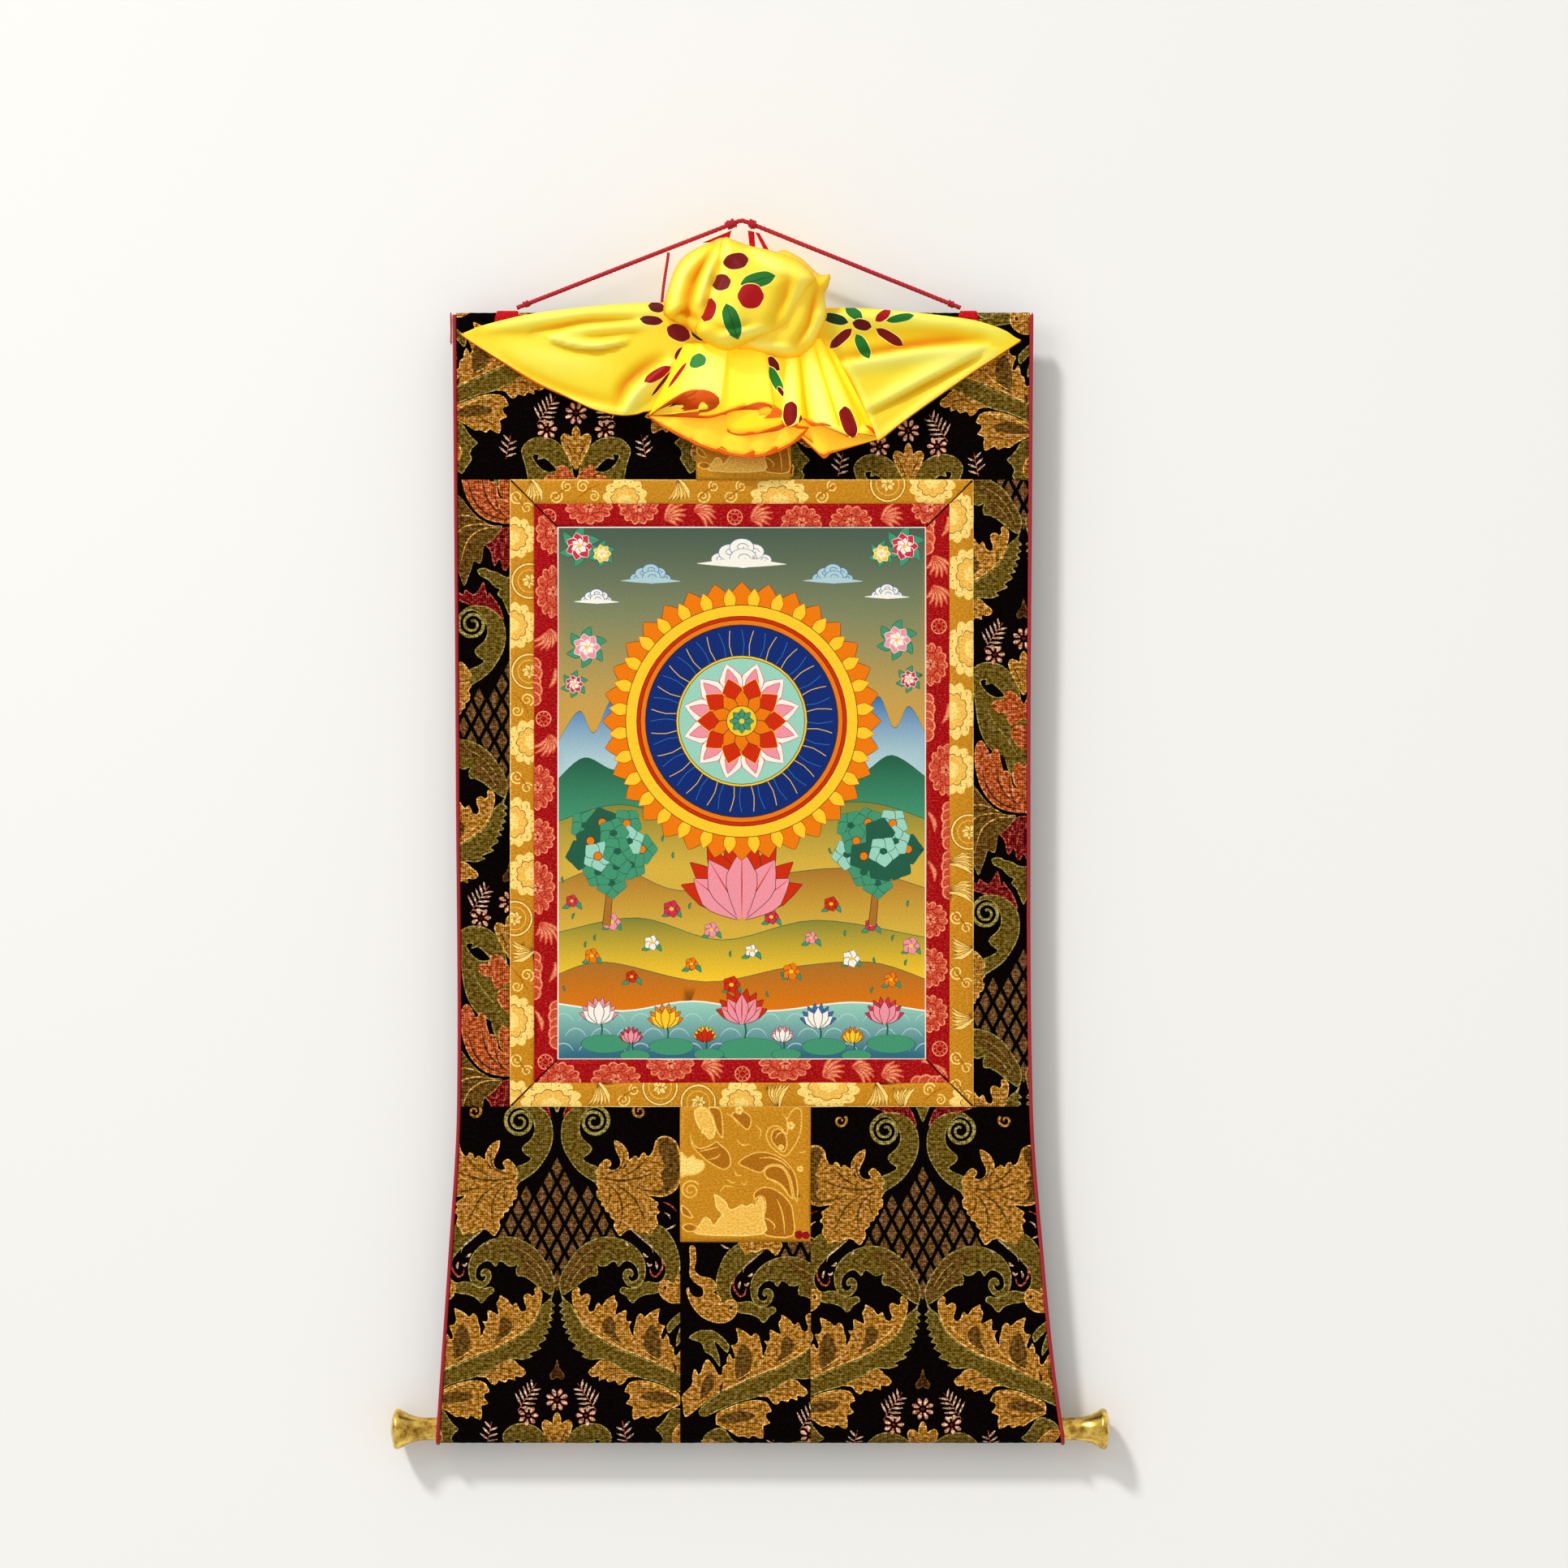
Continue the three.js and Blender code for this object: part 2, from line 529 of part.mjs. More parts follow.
// The rosette: lobes of bunched silk, each with its middle, its depth in front of the stave and its half sizes
const ROSETTE = [
  { x: 4, z: -59, forward: 40, halfWidth: 53, halfHeight: 44, halfDepth: 20, lean: -12 },
  { x: -41, z: -53, forward: 30, halfWidth: 21, halfHeight: 36, halfDepth: 17, lean: -14 },
  { x: 49, z: -77, forward: 29, halfWidth: 22, halfHeight: 34, halfDepth: 18, lean: -24 },
  { x: 57, z: -48, forward: 31, halfWidth: 15, halfHeight: 10, halfDepth: 12, lean: 20 },
  { x: 21, z: -96, forward: 35, halfWidth: 29, halfHeight: 16, halfDepth: 18, lean: 6 },
  { x: -23, z: -91, forward: 33, halfWidth: 24, halfHeight: 16, halfDepth: 16, lean: -24 },
];
function lobe({ x, z, forward, halfWidth, halfHeight, halfDepth, lean }) {
  const puff = new THREE.SphereGeometry(1, 16, 10);
  puff.scale(halfWidth, halfHeight, halfDepth);
  puff.rotateX(Math.PI / 2);
  puff.rotateY(degToRad(lean));
  return puff.translate(x, -forward, z);
}

// Joining for the veil, which is one cloth
function solidOf(geometry) {
  geometry.deleteAttribute("normal");
  geometry.deleteAttribute("uv");
  const merged = mergeVertices(geometry, 1e-3);
  const vertProperties = merged.attributes.position.array;
  const triVerts = new Uint32Array(merged.index.array);
  return new wasm.Manifold(new wasm.Mesh({ numProp: 3, vertProperties, triVerts }));
}
function geometryOf(solid) {
  const { vertProperties, triVerts } = solid.getMesh();
  const geometry = new THREE.BufferGeometry();
  geometry.setAttribute("position", new THREE.BufferAttribute(vertProperties, 3));
  geometry.setIndex(new THREE.BufferAttribute(triVerts, 1));
  geometry.computeVertexNormals();
  return geometry;
}
const bunched = ROSETTE.reduce((whole, row) => whole.add(solidOf(lobe(row))), solidOf(veilFan()));
piece("veil", geometryOf(bunched), veilSilk);

export default group;
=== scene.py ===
# Thangka scroll with a gathered yellow veil, hanging from its cord in front of a pale wall.
import math
import random

import bmesh
import bpy
import numpy as np
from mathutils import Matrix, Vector, geometry, kdtree, noise


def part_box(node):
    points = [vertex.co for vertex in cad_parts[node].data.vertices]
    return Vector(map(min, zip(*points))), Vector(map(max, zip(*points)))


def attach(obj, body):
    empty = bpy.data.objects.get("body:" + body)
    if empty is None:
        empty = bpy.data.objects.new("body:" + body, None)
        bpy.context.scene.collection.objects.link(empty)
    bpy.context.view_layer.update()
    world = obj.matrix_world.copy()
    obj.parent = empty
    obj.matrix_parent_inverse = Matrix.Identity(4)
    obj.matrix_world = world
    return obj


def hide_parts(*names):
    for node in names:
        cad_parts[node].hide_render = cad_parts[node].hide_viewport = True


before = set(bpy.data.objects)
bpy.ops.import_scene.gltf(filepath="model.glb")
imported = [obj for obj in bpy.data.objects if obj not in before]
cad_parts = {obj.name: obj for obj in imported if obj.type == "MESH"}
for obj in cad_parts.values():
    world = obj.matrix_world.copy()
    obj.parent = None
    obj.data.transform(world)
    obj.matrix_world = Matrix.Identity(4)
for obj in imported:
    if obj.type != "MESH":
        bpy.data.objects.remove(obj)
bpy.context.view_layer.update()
scene = bpy.context.scene
scene.view_settings.view_transform = "Standard"

# Camera
# The photograph is taken square on, so the camera looks straight along +Y at the middle of its frame.
MM = 0.001
IMAGE_PIXELS = 1932
MM_PER_PIXEL = 0.66
NAIL_PIXEL = (914, 272)  # where the row's origin lies in the photograph
CAMERA_DISTANCE = 3.2
frame_width = IMAGE_PIXELS * MM_PER_PIXEL * MM
middle_x = (IMAGE_PIXELS / 2 - NAIL_PIXEL[0]) * MM_PER_PIXEL * MM
middle_z = (NAIL_PIXEL[1] - IMAGE_PIXELS / 2) * MM_PER_PIXEL * MM
lens = bpy.data.cameras.new("camera")
lens.sensor_width = 36
lens.lens = lens.sensor_width * CAMERA_DISTANCE / frame_width
camera = bpy.data.objects.new("camera", lens)
camera.location = (middle_x, -CAMERA_DISTANCE, middle_z)
camera.rotation_euler = (math.pi / 2, 0, 0)
scene.collection.objects.link(camera)
scene.camera = camera

# Hanging cord
# A crimson cotton cord of twisted strands, about 4 mm thick. It runs taut from the left tab over the
# nail to the right tab, and is knotted at both tabs.
CORD_DIAMETER = 3.8
CORD_ROUTE = [
    (-183, -70.9), (-165, -63.9), (-145, -56.1), (-125, -48.2), (-105, -40.4), (-85, -32.6), (-65, -24.8),
    (-45, -17), (-25, -9.2), (-12, -4.1), (-6, -1.75), (-3, -0.62), (0, 0), (3, -0.65), (6, -1.82),
    (12, -4.2), (25, -9.4), (45, -17.5), (65, -25.5), (85, -33.5), (105, -41.6), (125, -49.6), (145, -57.6),
    (163, -64.9), (178, -70.9),
]  # (x, z) in millimetres, in the plane of the stave


def rounded(rows, steps):
    """Rows of numbers with smooth turns between them, as a Catmull-Rom curve."""
    smooth = []
    last = len(rows) - 1
    for k in range(last):
        near = [rows[max(k - 1, 0)], rows[k], rows[k + 1], rows[min(k + 2, last)]]
        for i in range(steps):
            t = i / steps
            smooth.append(tuple(
                0.5 * (2 * b + (c - a) * t + (2 * a - 5 * b + 4 * c - d) * t * t
                       + (3 * b - a - 3 * c + d) * t ** 3)
                for a, b, c, d in zip(*near)
            ))
    smooth.append(tuple(rows[-1]))
    return smooth


def path_length(points):
    return sum((b - a).length for a, b in zip(points, points[1:]))


def mesh_object(name, vertices, faces, smooth=True):
    """A new object at the origin, with its place in its mesh."""
    mesh = bpy.data.meshes.new(name)
    mesh.from_pydata(vertices, [], faces)
    mesh.polygons.foreach_set("use_smooth", [smooth] * len(mesh.polygons))
    mesh.update()
    piece = bpy.data.objects.new(name, mesh)
    scene.collection.objects.link(piece)
    return piece


def rope(name, points, radius, strands=3, pitch=0.011, sides=18):
    """A cord of twisted strands along points. Its groove attribute is 1 in the hollows between strands, where
    the cord's material paints shade.
    """
    vertices, faces, groove = [], [], []
    side = Vector((0, 1, 0))
    travelled = 0.0
    for i, point in enumerate(points):
        ahead = points[min(i + 1, len(points) - 1)] - points[max(i - 1, 0)]
        ahead.normalize()
        side = (side - side.dot(ahead) * ahead).normalized()
        up = ahead.cross(side)
        travelled += (point - points[i - 1]).length if i else 0
        for k in range(sides):
            turn = 2 * math.pi * k / sides
            hollow = 0.5 - 0.5 * math.cos(strands * (turn - 2 * math.pi * travelled / pitch))
            groove.append(hollow ** 2)
            reach = radius * (1 - 0.2 * hollow ** 2)
            vertices.append(point + reach * (math.cos(turn) * side + math.sin(turn) * up))
    for i in range(len(points) - 1):
        for k in range(sides):
            here, beside = i * sides + k, i * sides + (k + 1) % sides
            faces.append((here, beside, beside + sides, here + sides))
    faces.append(tuple(reversed(range(sides))))
    faces.append(tuple(range(len(vertices) - sides, len(vertices))))
    piece = mesh_object(name, vertices, faces)
    hollows = piece.data.attributes.new("groove", "FLOAT", "POINT")
    hollows.data.foreach_set("value", groove)
    return piece


def dye(red, green, blue):
    """A colour as the eye reads it on a screen, 0 to 255, as the linear colour that shaders take."""
    def linear(level):
        level /= 255
        return level / 12.92 if level <= 0.04045 else ((level + 0.055) / 1.055) ** 2.4
    return (linear(red), linear(green), linear(blue), 1.0)


def wired(tree, kind, settings=(), **inputs):
    """A shader node of a kind, with its settings and inputs. An input is a value or another node's output;
    its key is the socket's name with underscores, or its place after an n."""
    node = tree.nodes.new("ShaderNode" + kind)
    for key, value in dict(settings).items():
        setattr(node, key, value)
    for key, value in inputs.items():
        place = key[1:]
        socket = node.inputs[int(place)] if place.isdigit() else node.inputs[key.replace("_", " ")]
        if isinstance(value, bpy.types.NodeSocket):
            tree.links.new(value, socket)
        else:
            socket.default_value = value
    return node


def finish_material(name, **shader):
    """A material whose Principled shader has these values, and its node tree for what feeds it."""
    material = bpy.data.materials.new(name)
    material.use_nodes = True
    principled = material.node_tree.nodes["Principled BSDF"]
    for key, value in shader.items():
        principled.inputs[key.replace("_", " ")].default_value = value
    return material, material.node_tree, principled


def feed(tree, output, principled, socket):
    tree.links.new(output, principled.inputs[socket])


def raised(tree, principled, strength, distance, height):
    """Fine relief: a bump from a height, up to a distance in metres."""
    bump = wired(tree, "Bump", Strength=strength, Distance=distance, Height=height)
    feed(tree, bump.outputs["Normal"], principled, "Normal")


def cord_material(name, light, dark):
    """Twisted cotton: painted shade darkens it in the grooves, and fine fibres vary its tone at random and
    catch the light.
    """
    material, tree, principled = finish_material(name, Roughness=0.72, Sheen_Weight=0.08, Sheen_Roughness=0.4)
    principled.inputs["Sheen Tint"].default_value = dye(255, 120, 120)
    groove = wired(tree, "Attribute", {"attribute_name": "groove"})
    place = wired(tree, "TexCoord")
    fibre = wired(tree, "TexNoise", Vector=place.outputs["Object"], Scale=2600.0, Detail=2.0)
    # painted shade: the groove attribute darkens the cotton in the hollows between strands, on top of the
    # fibres' random tone
    depth = wired(tree, "Math", {"operation": "MULTIPLY_ADD"}, n0=fibre.outputs["Fac"], n1=0.5,
                  n2=groove.outputs["Fac"])
    fibre_tone_and_groove_shade = wired(tree, "Mix", {"data_type": "RGBA"}, Factor=depth.outputs[0], n6=light, n7=dark)
    feed(tree, fibre_tone_and_groove_shade.outputs["Result"], principled, "Base Color")
    raised(tree, principled, 0.4, 0.0006, fibre.outputs["Fac"])
    return material


def fitted(piece, node, material):
    """Gives a piece its material and its place on the scroll, where it stands for a plain solid."""
    piece.data.materials.append(material)
    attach(piece, "root")
    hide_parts(node)


crimson_cord = cord_material("crimson cord", dye(216, 4, 38), dye(146, 0, 22))
cord_line = [Vector((x, 0, z)) * MM for x, z in rounded(CORD_ROUTE, 14)]
hanging_cord = rope("hanging_cord_rope", cord_line, CORD_DIAMETER / 2 * MM)
fitted(hanging_cord, "hanging_cord", crimson_cord)

# Knots on the hanging cord
# Turns of the same cotton pulled tight round the cord, at the two tabs and on both sides of the nail.
KNOTS = [
    # node, place along the cord, turns, radius of a turn, thickness of its strand
    ("cord_knot_left", -175, 3, 1.9, 1.8),
    ("nail_knot_left", -9, 4, 2.7, 2.4),
    ("nail_knot_right", 8.5, 3, 2.6, 2.4),
    ("cord_knot_right", 170, 3, 1.9, 1.8),
]


def cord_at(x):
    """The cord's middle and direction where it passes x millimetres."""
    for a, b in zip(cord_line, cord_line[1:]):
        if a.x <= x * MM <= b.x:
            return a.lerp(b, (x * MM - a.x) / (b.x - a.x)), (b - a).normalized()


for node, x, turns, radius, strand in KNOTS:
    centre, ahead = cord_at(x)
    across = ahead.cross(Vector((0, 1, 0)))
    coil = []
    for k in range(20 * turns + 1):
        turn = 2 * math.pi * k / 20
        along = (k / (20 * turns) - 0.5) * turns * 0.8 * strand
        reach = radius + 0.35 * math.sin(turn * 0.5 + x)
        ring = math.cos(turn) * Vector((0, 1, 0)) + math.sin(turn) * across
        coil.append(centre + (ahead * along + ring * reach) * MM)
    knot = rope(f"{node}_turns", coil, strand / 2 * MM, pitch=0.006, sides=12)
    fitted(knot, node, crimson_cord)

# Drop cord
# A thinner cord tied to the hanging cord, which drops to the head of the mount behind the veil.
DROP_DIAMETER = 2.6
DROP_ROUTE = [
    (-59.6, -25.9), (-60.4, -32), (-61.5, -39), (-62.6, -46), (-63.6, -53), (-64.4, -60), (-65, -67),
    (-65.3, -74.4),
]
drop_line = [Vector((x, 0, z)) * MM for x, z in rounded(DROP_ROUTE, 8)]
drop_cord = rope("drop_cord_rope", drop_line, DROP_DIAMETER / 2 * MM, pitch=0.008, sides=12)
fitted(drop_cord, "drop_cord", crimson_cord)
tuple(drop_line[0])
path_length(drop_line)

# Brocade mount
# A silk brocade on a black satin ground, woven with gold, olive and rust foliage, cut into a head panel,
# two side panels and three foot panels. The head hem holds the stave and the foot hem the roller.
BROCADE = 1.5
HEAD, FRAME_TOP, FRAME_BOTTOM, FOOT = -75.0, -211.0, -720.0, -995.0  # levels of the seams and hems
FRAME_HALF = 188.0
EASE = 0.4
STAVE_THICKNESS, STAVE_HEIGHT = 5.0, 22.0
ROLLER_RADIUS = 9.5
PATCH_LEFT, PATCH_RIGHT, PATCH_BOTTOM = -50.0, 56.0, -830.0
SLEEVE = EASE + BROCADE / 2
CLOTH_Y = -(STAVE_THICKNESS / 2 + SLEEVE)
STAVE_TOP = HEAD - BROCADE - EASE
ROLLER_Y = CLOTH_Y + SLEEVE + ROLLER_RADIUS
ROLLER_Z = FOOT + BROCADE + EASE + ROLLER_RADIUS
TAIL_Y = CLOTH_Y + BROCADE + EASE
OUTLINE = [
    # height, left edge, right edge
    (-75, -232, 234), (-211, -231, 233), (-448, -229.5, 231.7), (-722, -228.5, 233.6), (-850, -236, 243),
    (-930, -241.5, 251), (-995, -246, 260),
]


def outline_at(height, column):
    """Where a side edge of the mount lies at a height, with rounded turns between the rows."""
    level = min(max(height, OUTLINE[-1][0]), OUTLINE[0][0])
    k = max(next(i for i, row in enumerate(OUTLINE) if row[0] <= level) - 1, 0)

    def slope(i):
        before, after = OUTLINE[max(i - 1, 0)], OUTLINE[min(i + 1, len(OUTLINE) - 1)]
        return (after[column] - before[column]) / (after[0] - before[0])

    upper, lower = OUTLINE[k], OUTLINE[k + 1]
    span = lower[0] - upper[0]
    t = (level - upper[0]) / span
    bend = t * (1 - t) * span * ((1 - t) * slope(k) - t * slope(k + 1))
    return upper[column] + t * t * (3 - 2 * t) * (lower[column] - upper[column]) + bend


def left_edge(height):
    return outline_at(height, 1)


def right_edge(height):
    return outline_at(height, 2)


def drape(x, z):
    """How far the hanging cloth stands back of its plane: edges curl back, soft ripples run down."""
    down = min(max((HEAD - z - 45) / (HEAD - FOOT - 90), 0), 1)
    freedom = math.sin(math.pi * down) ** 2
    curl = 4 * max(abs(x) / FRAME_HALF - 0.6, 0) ** 2
    ripple = 0.7 * math.sin(2 * math.pi * (x + 0.35 * z) / 190)
    pucker = 0.35 * noise.noise(Vector((x / 34, 0.0, z / 60)))
    return freedom * (curl + ripple + pucker)


def arc(y, z, radius, start, end, steps):
    angles = [math.radians(start + (end - start) * k / steps) for k in range(steps + 1)]
    return [(y + radius * math.cos(a), z + radius * math.sin(a)) for a in angles]


def along(path, distance):
    """The point of a path of (y, z) points at a distance from its start."""
    for (y0, z0), (y1, z1) in zip(path, path[1:]):
        step = math.hypot(y1 - y0, z1 - z0)
        if distance <= step:
            t = distance / max(step, 1e-9)
            return y0 + t * (y1 - y0), z0 + t * (z1 - z0)
        distance -= step
    return path[-1]


stave_half = STAVE_THICKNESS / 2
stave_bottom = STAVE_TOP - STAVE_HEIGHT
head_hem = (
    arc(-stave_half, STAVE_TOP, SLEEVE, 180, 90, 6)
    + arc(stave_half, STAVE_TOP, SLEEVE, 90, 0, 6)
    + [(stave_half + SLEEVE, stave_bottom)]
    + rounded([(stave_half + SLEEVE, stave_bottom - 1), (stave_half, stave_bottom - 4),
                                  (TAIL_Y + 1, stave_bottom - 7), (TAIL_Y, stave_bottom - 10)], 4)
    + [(TAIL_Y, stave_bottom - 18)]
)
sleeve_radius = ROLLER_RADIUS + SLEEVE
foot_hem = arc(ROLLER_Y, ROLLER_Z, sleeve_radius, 180, 390, 42)
leave_y, leave_z = foot_hem[-1]
foot_hem += rounded([(leave_y, leave_z), (leave_y - 5, leave_z + 8),
                                        (TAIL_Y + 3, ROLLER_Z + 20),
                                        (TAIL_Y, ROLLER_Z + 28)], 5)
foot_hem += [(TAIL_Y, ROLLER_Z + 36)]


def hem_length(path):
    return sum(math.dist(a, b) for a, b in zip(path, path[1:]))


def hang(x, level, proud=0.0):
    """A point of the flat mount, across and up, as it hangs: beyond a hem's turn it follows the hem round."""
    if level > STAVE_TOP:
        y, z = along(head_hem, level - STAVE_TOP)
    elif level < ROLLER_Z:
        y, z = along(foot_hem, ROLLER_Z - level)
    else:
        y, z = CLOTH_Y - proud, level
    return Vector((x, y + drape(x, z), z)) * MM


def stroke(points, teeth=(0, 0), steps=5):
    """The outline of a brush-like stroke. Points are (x, y, width) along its middle line."""
    line = rounded(points, steps)
    left, right = [], []
    for i, (x, y, width) in enumerate(line):
        before, after = line[max(i - 1, 0)], line[min(i + 1, len(line) - 1)]
        ahead = Vector((after[0] - before[0], after[1] - before[1]))
        ahead.normalize()
        half = max(width, 0.12) / 2
        jag = i % 2 if 0 < i < len(line) - 1 else 0
        reach_left, reach_right = half + teeth[0] * jag, half + teeth[1] * jag
        left.append((x - ahead.y * reach_left, y + ahead.x * reach_left))
        right.append((x + ahead.y * reach_right, y - ahead.x * reach_right))
    return left + right[::-1]


def tapered(points, width, end, steps=5):
    """A thin stroke along (x, y) points, with finer ends."""
    last = len(points) - 1
    return stroke([(x, y, width if 0 < k < last else end) for k, (x, y) in enumerate(points)], steps=steps)


def counter_clockwise(polygon):
    area = sum(a[0] * b[1] - b[0] * a[1] for a, b in zip(polygon, polygon[1:] + polygon[:1]))
    return polygon if area > 0 else polygon[::-1]


def within(ring, spots):
    """Marks the spots, rows of flat coordinates, that lie inside a counter-clockwise ring."""
    winding = np.zeros(len(spots), int)
    x, y = spots.T
    for (ax, ay), (bx, by) in zip(ring, ring[1:] + ring[:1]):
        side = (bx - ax) * (y - ay) - (x - ax) * (by - ay)
        winding += (ay <= y) & (y < by) & (side > 0)
        winding -= (by <= y) & (y < ay) & (side < 0)
    return winding > 0


def woven_sheet(name, outline, design, ground, place, spacing, thickness, materials):
    """A cloth with its design: outline and shapes are flat polygons in millimetres, later shapes on top.
    Colours go into the thread attribute and the flat cut into the UV map; place gives each point its spot."""
    xs, ys = [p[0] for p in outline], [p[1] for p in outline]
    low, high = (min(xs), min(ys)), (max(xs), max(ys))
    shapes = [(ground, outline)]
    for colour, polygon in design:
        px, py = [p[0] for p in polygon], [p[1] for p in polygon]
        if max(px) > low[0] and min(px) < high[0] and max(py) > low[1] and min(py) < high[1]:
            shapes.append((colour, polygon))
    points, rings = [], []
    for _, polygon in shapes:
        rings.append(list(range(len(points), len(points) + len(polygon))))
        points += [Vector(p) for p in counter_clockwise(polygon)]
    columns = max(int((high[0] - low[0]) / spacing[0]), 1)
    rows = max(int((high[1] - low[1]) / spacing[1]), 1)
    for j in range(1, rows):
        for i in range(1, columns):
            shift = 0.5 if j % 2 else 0
            points.append(Vector((low[0] + (high[0] - low[0]) * (i + shift) / columns,
                                  low[1] + (high[1] - low[1]) * j / rows)))
    flat, _, faces, *_ = geometry.delaunay_2d_cdt(points, [], rings, 1, 1e-4, True)
    spots = np.array([tuple(p) for p in flat])[np.array(faces)].mean(1)
    order = np.argsort(spots[:, 0])
    spots = spots[order]
    topmost = np.full(len(faces), -1)
    for k, (_, polygon) in enumerate(shapes):
        ring = [tuple(p) for p in counter_clockwise(polygon)]
        (left, bottom), (right, top) = np.min(ring, 0), np.max(ring, 0)
        first, last = np.searchsorted(spots[:, 0], (left, right))
        level = spots[first:last, 1]
        on_cloth = (topmost[first:last] >= 0) | (k == 0)
        near = first + np.nonzero((level > bottom) & (level < top) & on_cloth)[0]
        topmost[near[within(ring, spots[near])]] = k
    kept = [(faces[face], shape) for face, shape in zip(order, topmost) if shape >= 0]
    used = sorted({v for face, _ in kept for v in face})
    index = {v: k for k, v in enumerate(used)}
    cut = [flat[v] for v in used]
    faces = [[index[v] for v in face] for face, _ in kept]
    piece = mesh_object(name, [place(p.x, p.y) for p in cut], faces)
    colours, uvs, washes = [], [], {}
    for face, (_, shape) in zip(faces, kept):
        colour = shapes[shape][0]
        for v in face:
            if callable(colour) and (shape, v) not in washes:
                washes[shape, v] = colour(cut[v].x, cut[v].y)
            colours += washes[shape, v] if callable(colour) else colour
            uvs += (cut[v].x * MM, cut[v].y * MM)
    thread = piece.data.color_attributes.new("thread", "FLOAT_COLOR", "CORNER")
    thread.data.foreach_set("color", colours)
    piece.data.uv_layers.new(name="cut").data.foreach_set("uv", uvs)
    for material in materials:
        piece.data.materials.append(material)
    backing = piece.modifiers.new("thickness", "SOLIDIFY")
    backing.thickness = thickness * MM
    backing.offset = 0
    backing.material_offset = 1
    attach(piece, "root")
    return piece


def threads_group():
    """Speckle and ribs of woven threads, from flat cloth coordinates in metres; the Shade output serves as
    painted shade and highlight.
    """
    tree = bpy.data.node_groups.new("woven threads", "ShaderNodeTree")
    tree.interface.new_socket("Cut", in_out="INPUT", socket_type="NodeSocketVector")
    tree.interface.new_socket("Thread", in_out="INPUT", socket_type="NodeSocketFloat").default_value = 0.0011
    tree.interface.new_socket("Shade", in_out="OUTPUT", socket_type="NodeSocketFloat")
    tree.interface.new_socket("Height", in_out="OUTPUT", socket_type="NodeSocketFloat")
    given = tree.nodes.new("NodeGroupInput")
    result = tree.nodes.new("NodeGroupOutput")
    count = wired(tree, "Math", {"operation": "DIVIDE"}, n0=1.0, n1=given.outputs["Thread"])
    scaled = wired(tree, "VectorMath", {"operation": "SCALE"}, n0=given.outputs["Cut"],
                   Scale=count.outputs[0])
    floats = wired(tree, "Mapping", {"vector_type": "POINT"}, Vector=scaled.outputs[0],
                   Scale=(0.55, 0.85, 1.0))
    speckle = wired(tree, "TexNoise", Vector=floats.outputs[0], Scale=1.0, Detail=2.0, Roughness=0.6)
    warp = wired(tree, "TexWave", {"bands_direction": "X"}, Vector=scaled.outputs[0], Scale=0.32,
                 Distortion=1.5, Detail=1.0)
    weft = wired(tree, "TexWave", {"bands_direction": "Y"}, Vector=scaled.outputs[0], Scale=0.32,
                 Distortion=1.5, Detail=1.0)
    ribs = wired(tree, "Math", {"operation": "MULTIPLY"}, n0=warp.outputs["Fac"], n1=weft.outputs["Fac"])
    height = wired(tree, "Math", {"operation": "MULTIPLY_ADD"}, n0=ribs.outputs[0], n1=0.2,
                   n2=speckle.outputs["Fac"])
    shade = wired(tree, "MapRange", Value=height.outputs[0], From_Min=0.28, From_Max=0.82, To_Min=0.42,
                  To_Max=1.5)
    tree.links.new(shade.outputs[0], result.inputs["Shade"])
    tree.links.new(height.outputs[0], result.inputs["Height"])
    return tree


woven_threads = threads_group()


def woven_material(name, thread, roughness, gloss, relief, contrast=1.0):
    """Woven silk coloured from the thread attribute, with random speckle, painted shade between threads and
    painted highlight on them.
    """
    material, tree, principled = finish_material(name, Roughness=roughness, Specular_IOR_Level=gloss)
    colour = wired(tree, "VertexColor", {"layer_name": "thread"})
    cut = wired(tree, "UVMap", {"uv_map": "cut"})
    weave = wired(tree, "Group", {"node_tree": woven_threads}, Cut=cut.outputs[0], Thread=thread)
    # painted shade and highlight: the weave's Shade darkens the colour between threads and lightens and pales
    # it on them
    deep = wired(tree, "Math", {"operation": "MULTIPLY_ADD"}, n0=weave.outputs["Shade"], n1=contrast,
                 n2=1 - contrast)
    depth = wired(tree, "Math", {"operation": "MAXIMUM"}, n0=deep.outputs[0], n1=0.25)
    tone = wired(tree, "MapRange", Value=depth.outputs[0], From_Min=0.3, From_Max=1.7, To_Min=1.25,
                 To_Max=0.8)
    shaded = wired(tree, "HueSaturation", Color=colour.outputs["Color"], Saturation=tone.outputs[0],
                   Value=depth.outputs[0])
    feed(tree, shaded.outputs[0], principled, "Base Color")
    raised(tree, principled, relief, 0.0005, weave.outputs["Height"])
    return material


def reverse_material(name, light, dark, thread):
    """The wrong side of a cloth: floats of mixed thread, duller than the face."""
    material, tree, principled = finish_material(name, Roughness=0.85, Sheen_Weight=0.15)
    cut = wired(tree, "UVMap", {"uv_map": "cut"})
    weave = wired(tree, "Group", {"node_tree": woven_threads}, Cut=cut.outputs[0], Thread=thread)
    mixed = wired(tree, "Mix", {"data_type": "RGBA"}, Factor=weave.outputs["Height"], n6=dark, n7=light)
    feed(tree, mixed.outputs["Result"], principled, "Base Color")
    raised(tree, principled, 0.5, 0.0005, weave.outputs["Height"])
    return material


BLACK = dye(6, 2, 1)
GOLD, STRAW, OCHRE = dye(172, 115, 38), dye(216, 162, 82), dye(98, 66, 20)
OLIVE, SAGE, MOSS = dye(104, 82, 24), dye(150, 134, 70), dye(62, 50, 14)
RUST, PEACH = dye(178, 80, 30), dye(206, 124, 66)
WINE, ROSE = dye(116, 16, 14), dye(166, 74, 58)
BLOSSOM, BROWN = dye(206, 166, 136), dye(64, 34, 12)
LATTICE, TAWNY = dye(110, 72, 40), dye(98, 76, 36)
RIM = 0.9  # width of the pale thread line round each motif


